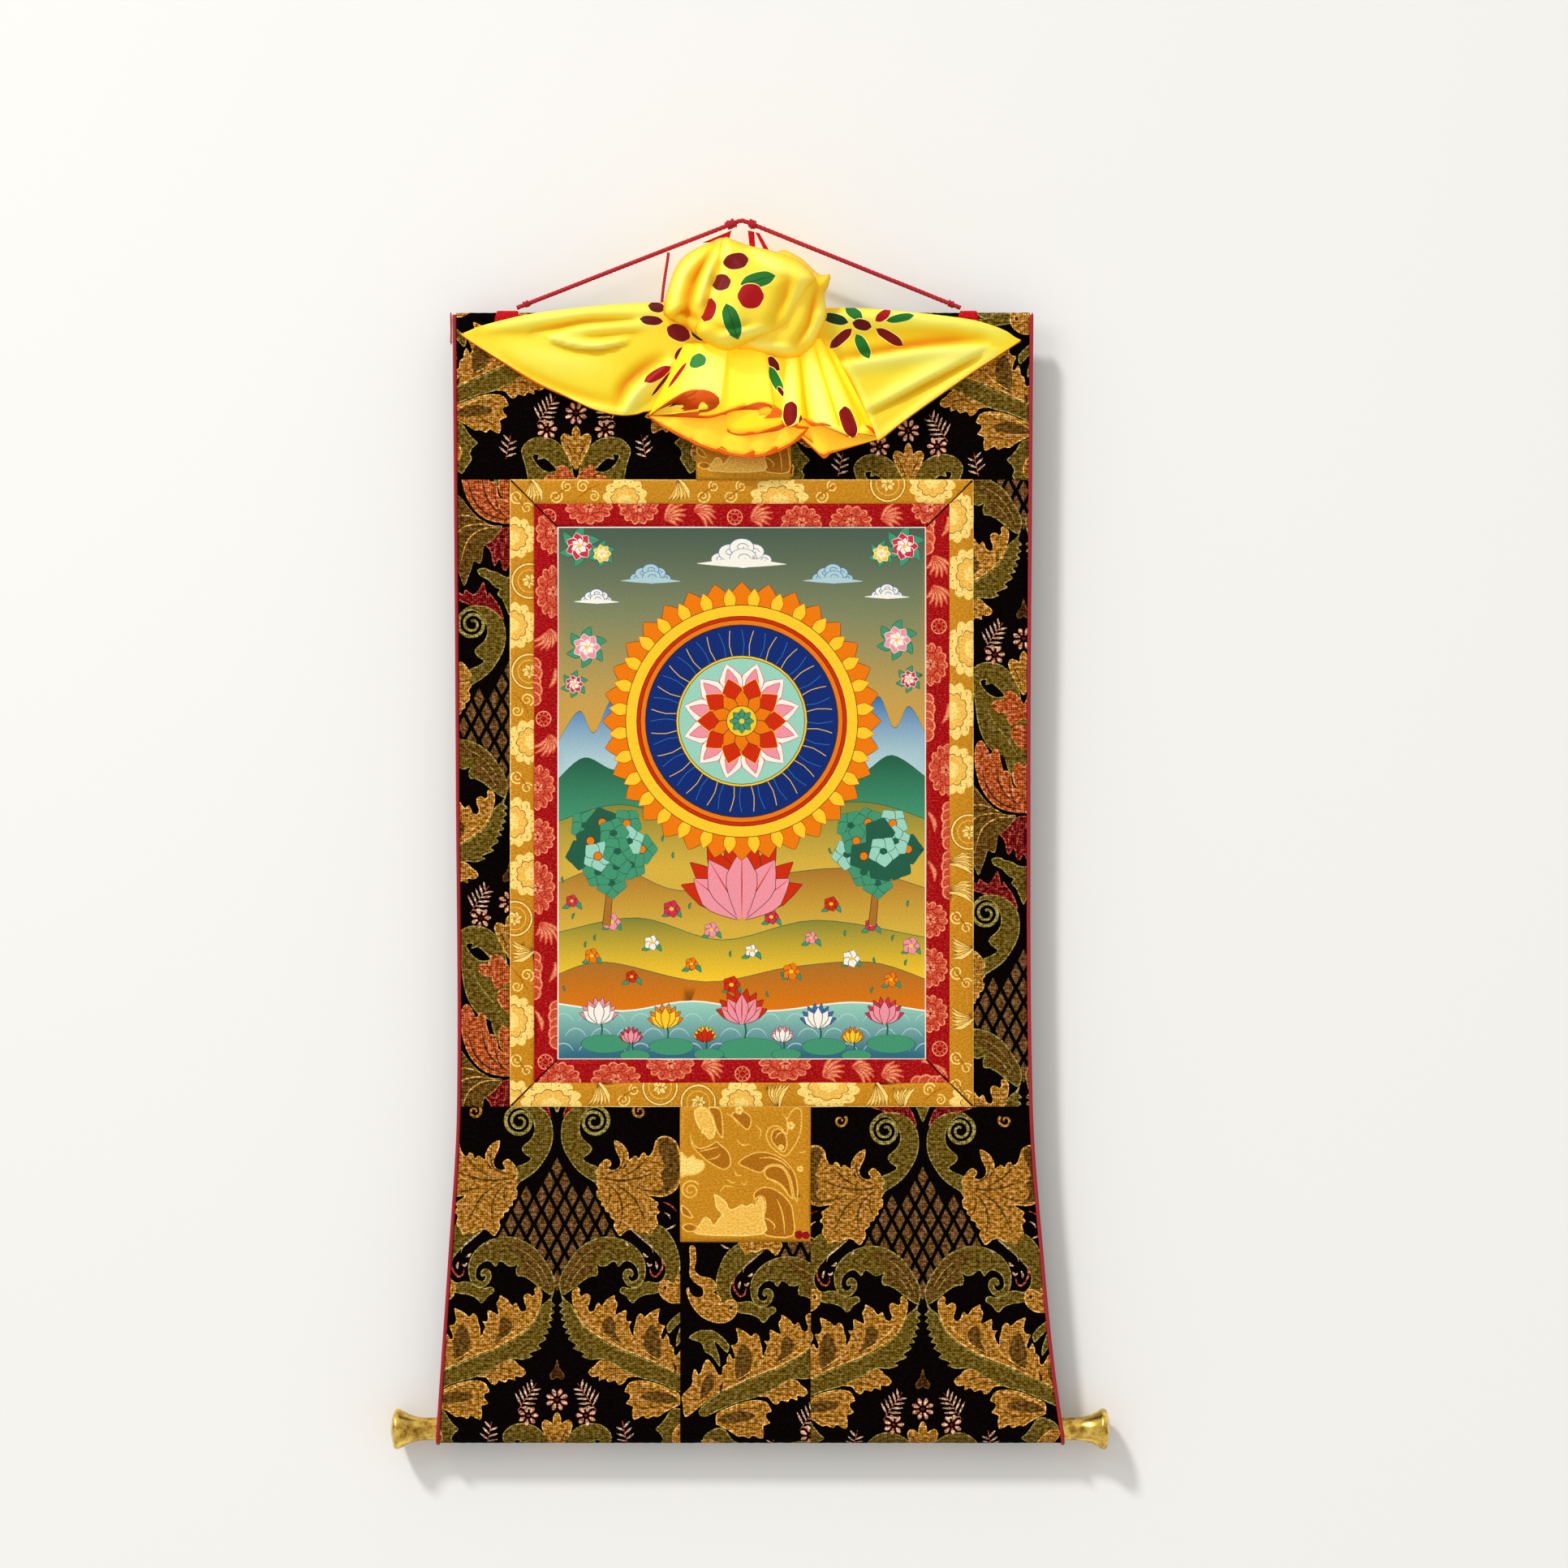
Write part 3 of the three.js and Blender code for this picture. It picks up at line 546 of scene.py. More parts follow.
def motif(points, fill, rim, teeth=(0, 0), vein=None, edge=RIM):
    """A stroke with a pale rim, and a thin vein down its middle if a colour is given."""
    wider = [(x, y, w + edge) for x, y, w in points]
    inner = [(x, y, w - edge) for x, y, w in points]
    steps = 5 if edge == RIM else 2 if max(w for *_, w in points) > 8 else 1
    parts = [(rim, stroke(wider, teeth, steps)), (fill, stroke(inner, teeth, steps))]
    if vein:
        parts.append((vein, tapered([(x, y) for x, y, _ in points], 0.9, 0.2, steps)))
    return parts


def lobe(base, tip, width, fill, rim, bend=0.12, teeth=(0, 0), vein=BROWN, edge=RIM):
    """One lobe of a leaf or petal, from its base to its tip, bowed to one side."""
    (x0, y0), (x1, y1) = base, tip
    dx, dy = x1 - x0, y1 - y0
    points = [(x0, y0, width * 0.35),
              (x0 + dx * 0.3 - dy * bend * 0.8, y0 + dy * 0.3 + dx * bend * 0.8, width * 0.85),
              (x0 + dx * 0.62 - dy * bend, y0 + dy * 0.62 + dx * bend, width), (x1, y1, 0.5)]
    return motif(points, fill, rim, teeth, vein, edge)


def closed(points, steps):
    """A closed outline with smooth turns between its points."""
    smooth = rounded(points[-1:] + points + points[:2], steps)
    return smooth[steps:-steps - 1]


def inset(polygon, by):
    """A polygon drawn in by a distance, without the points that would land nearer to another side."""
    ring = counter_clockwise(polygon)
    near = kdtree.KDTree(len(ring))
    for k, here in enumerate(ring):
        near.insert((*here, 0), k)
    near.balance()
    drawn = []
    for k, here in enumerate(ring):
        before = (Vector(here) - Vector(ring[k - 1])).normalized()
        after = (Vector(ring[(k + 1) % len(ring)]) - Vector(here)).normalized()
        turn = before + after
        scale = 2 * by / max(turn.length_squared, 1.2)
        point = (here[0] - turn.y * scale, here[1] + turn.x * scale)
        if near.find((*point, 0))[2] > 0.9 * by:
            drawn.append(point)
    return drawn


def rimmed(outline, fill, rim, edge=RIM):
    """A charted shape with a pale thread line round it."""
    ring = closed(outline, 3)
    return [(rim, ring), (fill, inset(ring, edge))]


def blossom(x, y, radius, petals, fill, rim, heart, turn=0.0, edge=RIM):
    """A flower seen from the front."""
    parts = []
    for k in range(petals):
        angle = turn + 2 * math.pi * k / petals
        tip = (x + radius * math.cos(angle), y + radius * math.sin(angle))
        parts += lobe((x, y), tip, 1.7 * radius * math.sin(math.pi / petals), fill, rim, bend=0.0, vein=None,
                      edge=edge)
    return parts + [(heart, stroke([(x - radius * 0.24, y, radius * 0.2), (x, y, radius * 0.45),
                                    (x + radius * 0.24, y, radius * 0.2)], steps=2))]


def floret(x, y, radius, petals):
    """A small flower of parted petals round a dark red eye."""
    parts = [(WINE, stroke([(x - 1.3, y, 1), (x, y, 2.4), (x + 1.3, y, 1)]))]
    for k in range(petals):
        turn = 0.4 + 2 * math.pi * k / petals
        ahead = Vector((math.cos(turn), math.sin(turn))) * radius
        for colour, extra in ((ROSE, 0.9), (BLOSSOM, 0)):
            parts.append((colour, stroke([(x + ahead.x * r, y + ahead.y * r, w + extra)
                                          for r, w in [(0.36, 0.5), (0.74, 2.7), (1, 0.9)]])))
    return parts


def sprig(x, y, size, lean, pairs=5):
    """A twig with pairs of slender leaves."""
    ahead = Vector((math.sin(lean), math.cos(lean))) * size
    parts = [(ROSE, stroke([(x, y, 0.5), (x + ahead.x, y + ahead.y, 0.5)]))]
    for k in range(pairs):
        for side in (-1, 1):
            start = Vector((x, y)) + ahead * (0.16 + 0.76 * (k + 0.25 * side) / pairs)
            tip = start + ahead * 0.2 + Vector((ahead.y, -ahead.x)) * (0.36 - 0.04 * k) * side
            parts.append((BLOSSOM, stroke([(*start, 0.4), (*(start + tip) / 2, 1.7), (*tip, 0.4)])))
    return parts


def curl(x, y, radius, turns, start, hand, width, fill):
    """A volute's line that winds inwards."""
    steps = int(turns * 12)
    points = []
    for k in range(steps + 1):
        reach = radius * (1 - 0.8 * k / steps)
        angle = start + hand * 2 * math.pi * turns * k / steps
        points.append((x + reach * math.cos(angle), y + reach * math.sin(angle),
                       width * (1 - 0.4 * k / steps)))
    return [(fill, stroke(points, steps=3))]


# The right half of the brocade's repeat: x from its axis, y up from its pair of volutes, in millimetres
AXIS_SHAPES = [
    # fill, rim, right half of the outline from top to bottom
    (OLIVE, SAGE, [
        (0, -288), (3, -270), (7, -259), (12, -252), (19, -247), (28, -245), (36, -246.5), (42, -251),
        (44.5, -257), (42, -266), (39.5, -277), (38, -290), (35, -302), (30, -312), (24, -318), (16, -322),
        (14, -328), (12, -334), (8, -339), (0, -335)]),
    (RUST, PEACH, [
        (0, -279), (2, -276), (6, -271), (10, -268.5), (15, -269), (18, -272), (17, -276), (22, -276),
        (26, -279), (25, -283), (20, -286), (15, -287), (14, -290), (12, -295), (7, -296), (0, -291)]),
    (RUST, PEACH, [(0, -297), (4, -296), (9, -298), (10, -305), (6, -312), (0, -316)]),
    (RUST, PEACH, [
        (0, -350), (8, -346), (14, -338), (18, -328), (20, -318), (24, -315), (27, -320), (30, -314),
        (34, -309), (38, -311), (40, -320), (39, -332), (35, -346), (28, -357), (19, -364), (8, -367),
        (0, -367.5)]),
    (RUST, PEACH, [(0, -330), (4, -326), (8, -329), (9, -337), (7, -345), (0, -351)]),
    (OLIVE, SAGE, [
        (0, -411), (5, -410), (10, -407), (15, -406), (20, -403.5), (26, -405), (24, -410), (18, -413),
        (12, -419), (8, -421), (10, -425), (6, -429), (3, -436), (0, -442)]),
    (WINE, ROSE, [
        (0, -370), (5, -371), (10, -375), (16, -379), (20, -384), (17, -388), (15, -392), (14, -398),
        (12, -402), (9, -397), (7, -398), (6, -404), (3, -406), (0, -401)]),
    (BROWN, OCHRE, [(0, -193), (2, -200), (6, -206), (4, -210), (0, -208)]),
    (GOLD, STRAW, [
        (0, -236), (3, -240), (3.6, -245), (6, -243.5), (10, -242.5), (12.5, -246), (11.5, -251), (8, -259),
        (4, -266), (0, -272)]),
]
PAIRED_SHAPES = [
    # fill, rim, outline
    (BLACK, SAGE, [
        (36, -261), (33, -258.5), (29, -259.5), (30, -262.5), (26, -261.5), (22, -264), (17, -269),
        (15, -273), (22, -274.5), (28, -272), (33, -267)]),
    (OCHRE, SAGE, [
        (6, -370), (14, -369), (24, -364), (33, -355), (40, -346), (46, -345), (48, -360), (47, -378),
        (45, -395), (41, -408), (37, -418), (34, -412), (31, -404), (29, -398), (24, -400), (22, -394),
        (21, -386), (17, -383), (13, -380)]),
    (RUST, PEACH, [(11, -336), (15, -333), (18, -338), (17, -346), (12, -354), (8, -356), (9, -346)]),
    (WINE, ROSE, [
        (5, 3), (8, 14), (13, 21), (16.6, 25.6), (18, 22), (21, 34), (25, 28), (29, 24), (33, 26), (36, 28),
        (38, 24), (44, 27), (47, 21), (41, 18.5), (30, 15), (15, 12)]),
    (OLIVE, SAGE, [
        (60, -87.5), (66, -86), (74, -88), (80, -84.5), (84, -84.5), (90, -89.5), (95, -97), (99, -108),
        (100, -118), (98, -128), (93, -135), (86, -138), (79, -140), (72, -141), (66, -143.5), (62, -147.5),
        (59, -146), (56, -142), (51, -138.5), (53, -134.5), (60, -135.5), (66, -133.5), (71, -130.5),
        (76, -130), (82, -131), (87, -126), (88, -119), (85, -112), (80, -106), (74, -99), (66, -93)]),
    (GOLD, STRAW, [
        (33, -38), (36, -33.5), (40, -30.5), (43.5, -32.5), (44, -35), (42, -38.5), (46, -39.5), (50, -37.5),
        (51.5, -33), (50, -28), (47.5, -23), (46.5, -15.5), (51, -17), (55, -20.5), (58, -26), (58.5, -31),
        (61, -29.5), (64, -28), (66.5, -30), (68.5, -26.5), (71, -25.3), (73, -28), (76, -27), (78.5, -22),
        (79.5, -17), (83, -13), (88, -11.8), (94, -14), (98, -19), (101, -30), (102, -42), (99, -52),
        (95, -57), (90, -60), (84, -61.5), (75, -60.5), (79, -64), (82.5, -66.5), (81, -70), (83.5, -73.5),
        (80.5, -77), (82, -83), (78.5, -88), (76, -92.5), (72, -90), (67, -90.5), (62, -88), (57, -88.5),
        (54, -91), (51, -93), (48.5, -90), (46, -85), (47, -81), (43.5, -78), (43, -74.5), (39.5, -73),
        (38.5, -69.5), (36, -68), (36, -64.5), (33, -62.5), (32, -57), (33.5, -54.5), (31, -50), (33, -46),
        (31.5, -42)]),
    (OCHRE, GOLD, [
        (81, -18), (84, -14), (88, -13), (94, -15.5), (97, -20), (100, -31), (100.5, -42), (97.5, -51),
        (93, -55.5), (88, -58.5), (80, -59.5), (86, -52), (84, -44), (87, -36), (84, -28)]),
    (OLIVE, SAGE, [
        (36, 12.8), (30, 15), (22, 14.5), (15, 12), (8.5, 7), (4.5, 0), (3.2, -8), (3.6, -16), (6, -24),
        (10, -31), (15, -38), (21, -43.5), (28, -48), (32, -50), (33, -46), (31.5, -42), (33, -38),
        (32, -36.5), (28, -35), (24, -33), (22, -31.5), (21.5, -29.5), (26, -26.5), (28.5, -22.5),
        (27, -19.5), (23, -16), (20, -12.5), (18.3, -7), (19, -1), (21, 4), (25, 8.5), (30, 11),
        (35.5, 10)]),
    (OLIVE, SAGE, [
        (4, -141), (1.5, -132), (3.5, -124), (8, -116), (13, -108.5), (19, -102), (27, -97), (36, -94),
        (46, -94), (55, -96.5), (63, -101.5), (69, -108.5), (72, -117), (71.5, -126), (69, -131.5),
        (65, -134.8), (60, -134.8), (56, -132), (53.3, -127), (54, -122), (57.5, -119.5), (61, -120.8),
        (62.3, -124), (60.5, -126.3), (58.5, -125), (58.3, -127.5), (60.5, -129.8), (64, -129), (66, -125.5),
        (65, -119.5), (62, -115.8), (57, -113.3), (53, -115), (50, -118.3), (47, -114), (44, -114.5),
        (40, -117.5), (36, -118), (32, -116.3), (33.3, -120), (32.5, -125.3), (28, -126), (22, -129),
        (17, -133), (11, -137.5)]),
    (OCHRE, OLIVE, [
        (5, -138), (3.4, -131), (6, -123), (11, -114), (17, -106), (25, -100), (35, -97.5), (42, -99),
        (38, -106), (32, -110), (28, -116), (30, -122), (22, -127), (14, -133)]),
    (OLIVE, SAGE, [
        (110, -240), (99, -233), (92, -235), (88, -241), (84, -246), (80, -250), (84, -254), (86, -259),
        (84.5, -263), (89, -270), (93, -275), (100, -268), (108, -254)]),
    (GOLD, STRAW, [(112, -244), (104, -243), (97, -248), (93, -256), (95, -264), (102, -262), (109, -252)]),
    (GOLD, STRAW, [
        (58, -213), (62, -211), (70, -210.5), (80, -212.5), (90, -216.5), (99, -221), (100, -229),
        (98, -231), (93, -233.5), (88, -236), (82, -240), (78, -239.5), (73, -241.5), (70, -239), (66, -241),
        (62, -242), (61, -236), (61.5, -231.5), (56, -229), (59, -225), (59, -221.5), (55, -219.5),
        (56.5, -215.5)]),
    (OCHRE, GOLD, [(68, -222), (80, -218.5), (94, -222), (99, -228), (88, -229.5), (76, -228), (70, -226)]),
    (GOLD, STRAW, [
        (33, -195.5), (38, -193), (46, -193), (54, -196), (64, -202), (66, -207), (58, -208), (54, -212.5),
        (50, -214), (47, -210.5), (42, -212), (39, -209), (34, -210.5), (34, -206.8), (29, -207.5),
        (25.5, -204.5), (27, -201), (31, -198)]),
    (OLIVE, SAGE, [
        (3, -140), (7, -145), (12, -149), (16, -157), (21, -165.5), (30, -173.5), (40, -179.5), (50, -185),
        (60, -188.5), (70, -192.5), (80, -197), (92, -202), (104, -209), (114, -219), (110, -224),
        (99, -219.5), (90, -215.5), (80, -211.5), (70, -209), (62, -206), (52, -201), (44, -196), (35, -193),
        (28, -193.5), (20, -191), (22.5, -188.5), (13, -184.5), (15.5, -181.5), (9, -177), (11.5, -173.5),
        (6.5, -172), (9, -168.5), (4.5, -167), (7, -163), (3, -161), (5.5, -157.5), (2, -155), (4.8, -151.5),
        (1.5, -149.5), (4.5, -146)]),
    (GOLD, STRAW, [
        (12, -140), (14, -136), (16.5, -134.5), (18.5, -136.5), (18, -140), (20, -142), (22, -140.5),
        (24.5, -140), (27, -142), (26.5, -147), (25, -151), (26.5, -154.5), (30, -153.5), (32, -149),
        (33.5, -147.3), (36, -149.5), (38, -148), (40, -145), (43, -143), (46.5, -141.3), (47, -144.5),
        (49, -147.5), (48.5, -151), (47.5, -156.5), (51, -155.5), (55.5, -153.3), (56.5, -156), (56, -159.5),
        (57, -162.5), (60.5, -162.5), (58.5, -166), (59.5, -170), (62, -174.5), (62.5, -168), (64, -163),
        (65, -158.5), (68, -156), (71, -158.5), (73, -157.5), (76, -155), (80, -153), (83.5, -152),
        (82.5, -157), (82, -162), (84, -165), (87.5, -166), (86, -170), (84.5, -175.5), (86.5, -177),
        (89, -172.8), (91, -177), (91.5, -181), (94.5, -183.5), (95, -189), (97.5, -190), (100, -186),
        (103, -181), (107, -177.3), (110, -181), (112, -187), (114, -190), (115.5, -187), (117.5, -185),
        (119, -190), (119, -196), (121, -200), (124, -203), (127.5, -207.5), (127, -213), (125, -224),
        (117, -219), (104, -208.5), (92, -201.5), (80, -196.5), (70, -192), (60, -188), (50, -184.5),
        (40, -179), (30, -173), (21, -165), (16, -156.5), (13, -149)]),
    (OCHRE, GOLD, [(36, -164), (42, -158), (47, -162), (48, -172), (53, -182), (45, -179), (38, -172)]),
    (OCHRE, GOLD, [(72, -170), (78, -164), (83, -172), (85, -186), (82, -195), (74, -191), (70, -180)]),
    (OCHRE, GOLD, [(103, -188), (108, -190), (112, -198), (113, -210), (106, -206), (101, -198)]),
    (GOLD, STRAW, [
        (117, -86), (116, -97), (117.5, -104), (113, -109.5), (108, -110.5), (103, -112), (100, -116),
        (99.5, -120.5), (102, -123), (98.5, -125), (95.5, -128.5), (97, -132), (93.5, -131), (90, -129),
        (86, -128.7), (83, -131.5), (82.3, -136.5), (84, -141.5), (88, -145.5), (94, -148), (102, -147.3),
        (110, -143.8), (116.5, -138), (121.5, -130), (124, -121), (122, -119), (121, -123), (117, -126.5),
        (112, -126.5), (110, -123), (112, -118.5), (117, -115), (121.5, -109), (121, -98), (121.5, -86)]),
    (BROWN, STRAW, [(85.5, -134), (88, -132.5), (90, -134.5), (89, -137.5), (86.5, -137.5)]),
    (OLIVE, SAGE, [
        (122, -160), (115, -154.5), (108, -153.5), (102, -154), (96, -158), (91, -163), (89, -167),
        (91, -172), (97, -166), (101, -163), (99, -170), (97, -176), (97, -183), (103, -175), (109, -171),
        (112, -164)]),
]
THREAD_LINES = [
    # colour, points of (x, y, width): veins, streaks and flourishes
    (OCHRE, [(34, -46, 0.4), (50, -48, 1.8), (66, -46, 1.6), (84, -40, 0.4)]),
    (OCHRE, [(40, -49, 0.4), (50, -60, 1.6), (53, -72, 1.4), (51, -86, 0.4)]),
    (OCHRE, [(38, -44, 0.4), (50, -39, 1.4), (54, -31, 1.2), (53, -22, 0.4)]),
    (OCHRE, [(46, -50, 0.4), (62, -62, 1.7), (73, -84, 0.4)]),
    (OCHRE, [(52, -46, 0.4), (64, -39, 1.6), (74, -29, 0.4)]),
    (OCHRE, [(42, -52, 0.4), (43, -62, 1.3), (39, -70, 0.3)]),
    (OCHRE, [(60, -52, 0.4), (72, -56, 1.4), (90, -58, 0.4)]),
    (BROWN, [(53, -38.5, 0.4), (55, -36.5, 1.5), (56, -34, 0.4)]),
    (BROWN, [(42, -103, 0.4), (45, -106, 1.2), (49, -109, 0.3)]),
    (BROWN, [(55.5, -103.5, 0.4), (55.8, -106, 1.2), (55.5, -108.5, 0.4)]),
    (SAGE, [(6, -134, 0.3), (12, -121, 0.8), (22, -109, 0.8), (36, -101, 0.3)]),
    (SAGE, [(10, -134, 0.3), (17, -122, 0.8), (27, -113, 0.3)]),
    (STRAW, [(13.5, -150, 0.4), (20, -163, 1.1), (32, -173.5, 1.2), (52, -184, 1.2), (74, -193, 1.1),
             (94, -203, 0.4)]),
    (STRAW, [(21, -156, 0.3), (28, -165, 0.9), (40, -174, 0.9), (52, -181, 0.3)]),
    (STRAW, [(57, -172, 0.3), (64, -181, 0.9), (76, -190, 0.9), (84, -194, 0.3)]),
    (BROWN, [(94, -196, 0.5), (96, -200, 2.4), (96, -204, 0.6)]),
    (STRAW, [(62, -212.5, 0.3), (76, -213.5, 0.9), (90, -219, 0.9), (98, -224, 0.3)]),
    (OCHRE, [(34, -204, 0.3), (42, -201, 1), (54, -201, 0.4)]),
    (OCHRE, [(40, -208, 0.3), (48, -205, 1), (60, -205, 0.4)]),
    (OCHRE, [(62, -218, 0.3), (70, -217, 1), (84, -218, 0.4)]),
    (OCHRE, [(64, -236, 0.3), (74, -232.5, 1), (88, -231.5, 0.4)]),
    (BROWN, [(2, -365, 0.5), (16, -361, 1.3), (28, -350, 1.3), (34, -333, 0.5)]),
    (BROWN, [(6, -361, 0.4), (18, -348, 1.1), (23, -328, 0.4)]),
    (BROWN, [(2, -363, 0.4), (9, -356, 1), (12, -344, 0.4)]),
    (STRAW, [(8, -371, 0.3), (22, -372, 0.9), (34, -381, 0.9), (40, -400, 0.3)]),
    (STRAW, [(10, -370, 0.3), (26, -368, 0.9), (40, -372, 0.9), (45, -386, 0.3)]),
    (STRAW, [(20, -366, 0.3), (34, -361, 0.9), (46, -362, 0.3)]),
    (OLIVE, [(12, -374, 0.4), (22, -380, 1.6), (25, -396, 0.4)]),
    (ROSE, [(1.5, -374, 0.3), (4, -385, 0.8), (6, -396, 0.3)]),
    (ROSE, [(8, -377, 0.3), (12, -388, 0.8), (11.5, -396, 0.3)]),
    (OCHRE, [(8, -332, 0.4), (20, -316, 1.1), (30, -298, 1.1), (35, -278, 0.4)]),
    (SAGE, [(4, -322, 0.3), (13, -308, 0.8), (24, -294, 0.8), (30, -282, 0.3)]),
    (BROWN, [(2, -264, 0.3), (5, -256, 0.9), (8.5, -248, 0.3)]),
    (BLOSSOM, [(61, -89, 0.3), (70, -96.5, 0.8), (76.5, -102, 0.8), (78, -106.5, 0.3)]),
    (ROSE, [(84, -110, 0.3), (86, -116, 1.3), (84, -122, 1.5), (80, -126, 1.5), (76.5, -124, 1.3),
            (75.5, -119.5, 0.4)]),
    (BLOSSOM, [(70, -107, 0.4), (71.5, -109, 2.2), (74, -110, 0.6)]),
    (BLOSSOM, [(73, -115, 0.5), (75, -117, 2.2), (77, -116, 0.5)]),
    (BLOSSOM, [(80, -114, 0.5), (81, -117, 2), (81, -120, 0.5)]),
    (BLOSSOM, [(56, -98, 0.4), (57, -100, 1.5), (58, -101, 0.4)]),
    (ROSE, [(86, -65.5, 0.4), (92, -68, 1.1), (97, -73, 0.5)]),
    (BLOSSOM, [(87, -74, 0.4), (90.5, -76, 1.3), (92, -79, 0.4)]),
    (BLOSSOM, [(88, -88, 0.4), (93, -86, 1.5), (96, -84, 0.4)]),
]
REPEAT = 449.0
# row of lozenges, half width of the field
LATTICE_HALF = [(0, 1), (1, 8), (2, 27), (3, 34), (4, 40), (5, 46), (6, 30), (7, 12), (8, 2)]


def lattice():
    """A pear-shaped field of lozenges between the volutes and the big scrolls."""
    parts = []
    for row, half in LATTICE_HALF:
        for column in range(-8, 9):
            x, y = column * 6.25, -38 - row * 11.4
            if (row + column) % 2 == 0 and abs(x) < half:
                lozenge = [(x - 4.3, y), (x, y - 8.6), (x + 4.3, y), (x, y + 8.6)]
                parts += [(TAWNY, lozenge), (LATTICE, inset(lozenge, 0.9))]
    return parts


def repeat_of_brocade():
    parts = lattice()
    halves = []
    for fill, rim, half in AXIS_SHAPES:
        parts += rimmed(half + [(-x, y) for x, y in reversed(half) if x], fill, rim)
    for fill, rim, outline in PAIRED_SHAPES:
        halves += rimmed(outline, fill, rim, 0.5 if fill == OCHRE else RIM)
    halves += [(colour, stroke(points)) for colour, points in THREAD_LINES]
    halves += curl(30.3, 0, 12.3, 2.0, 1.15, -1, 3.0, SAGE) + curl(67, 8, 5.5, 1.2, 2.4, 1, 2.2, GOLD)
    halves += floret(23.5, -239, 8.2, 7) + sprig(32, -235, 27, -0.6) + sprig(57, -263, 20, -0.2, 3)
    for colour, polygon in halves:
        parts.append((colour, polygon))
        parts.append((colour, [(-x, y) for x, y in polygon]))
    return parts + floret(0, -226, 9, 8)


brocade_repeat = repeat_of_brocade()


def brocade_design(places):
    """The repeat laid at each (axis, level of its volutes), with the repeats above and below it."""
    return [
        (colour, [(x + axis, y + level + shift) for x, y in polygon])
        for axis, level in places for shift in (REPEAT, 0, -REPEAT) for colour, polygon in brocade_repeat
    ]


brocade_face = woven_material("brocade face", 0.0018, 0.8, 0.02, 0.5, 2.4)
brocade_back = reverse_material("brocade reverse", dye(74, 60, 38), dye(22, 20, 17), 0.0016)
HEAD_FLAT = STAVE_TOP + hem_length(head_hem)
FOOT_FLAT = ROLLER_Z - hem_length(foot_hem)
BROCADE_PANELS = [
    # node, top, bottom, left line, right line, (axis, level of volutes) of the repeats
    ("brocade_head", HEAD_FLAT, FRAME_TOP, left_edge, right_edge, [(-134.6, 69), (135.3, 55)]),
    ("brocade_side_left", FRAME_TOP, FRAME_BOTTOM, left_edge, lambda z: -FRAME_HALF, [(-188.5, -328)]),
    ("brocade_side_right", FRAME_TOP, FRAME_BOTTOM, lambda z: FRAME_HALF, right_edge, [(229, -563)]),
    ("brocade_foot_left", FRAME_BOTTOM, FOOT_FLAT, left_edge, lambda z: PATCH_LEFT, [(-150, -732)]),
    ("brocade_foot_middle", PATCH_BOTTOM, FOOT_FLAT, lambda z: PATCH_LEFT, lambda z: PATCH_RIGHT,
     [(79, -748)]),
    ("brocade_foot_right", FRAME_BOTTOM, FOOT_FLAT, lambda z: PATCH_RIGHT, right_edge, [(147, -739.5)]),
]
for node, top, bottom, left, right, places in BROCADE_PANELS:
    levels = [top + (bottom - top) * k / 120 for k in range(121)]
    heights = [hang(0, level).z / MM for level in levels]
    outline = [(left(z), level) for z, level in zip(heights, levels)]
    outline += [(right(z), level) for z, level in zip(reversed(heights), reversed(levels))]
    rows = 2.2 if bottom < ROLLER_Z or top > STAVE_TOP else 9
    panel = woven_sheet(f"{node}_cloth", outline, brocade_design(places), BLACK, hang, (9, rows), BROCADE,
                        (brocade_face, brocade_back))
    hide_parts(node)
    width = right(bottom) - left(bottom)

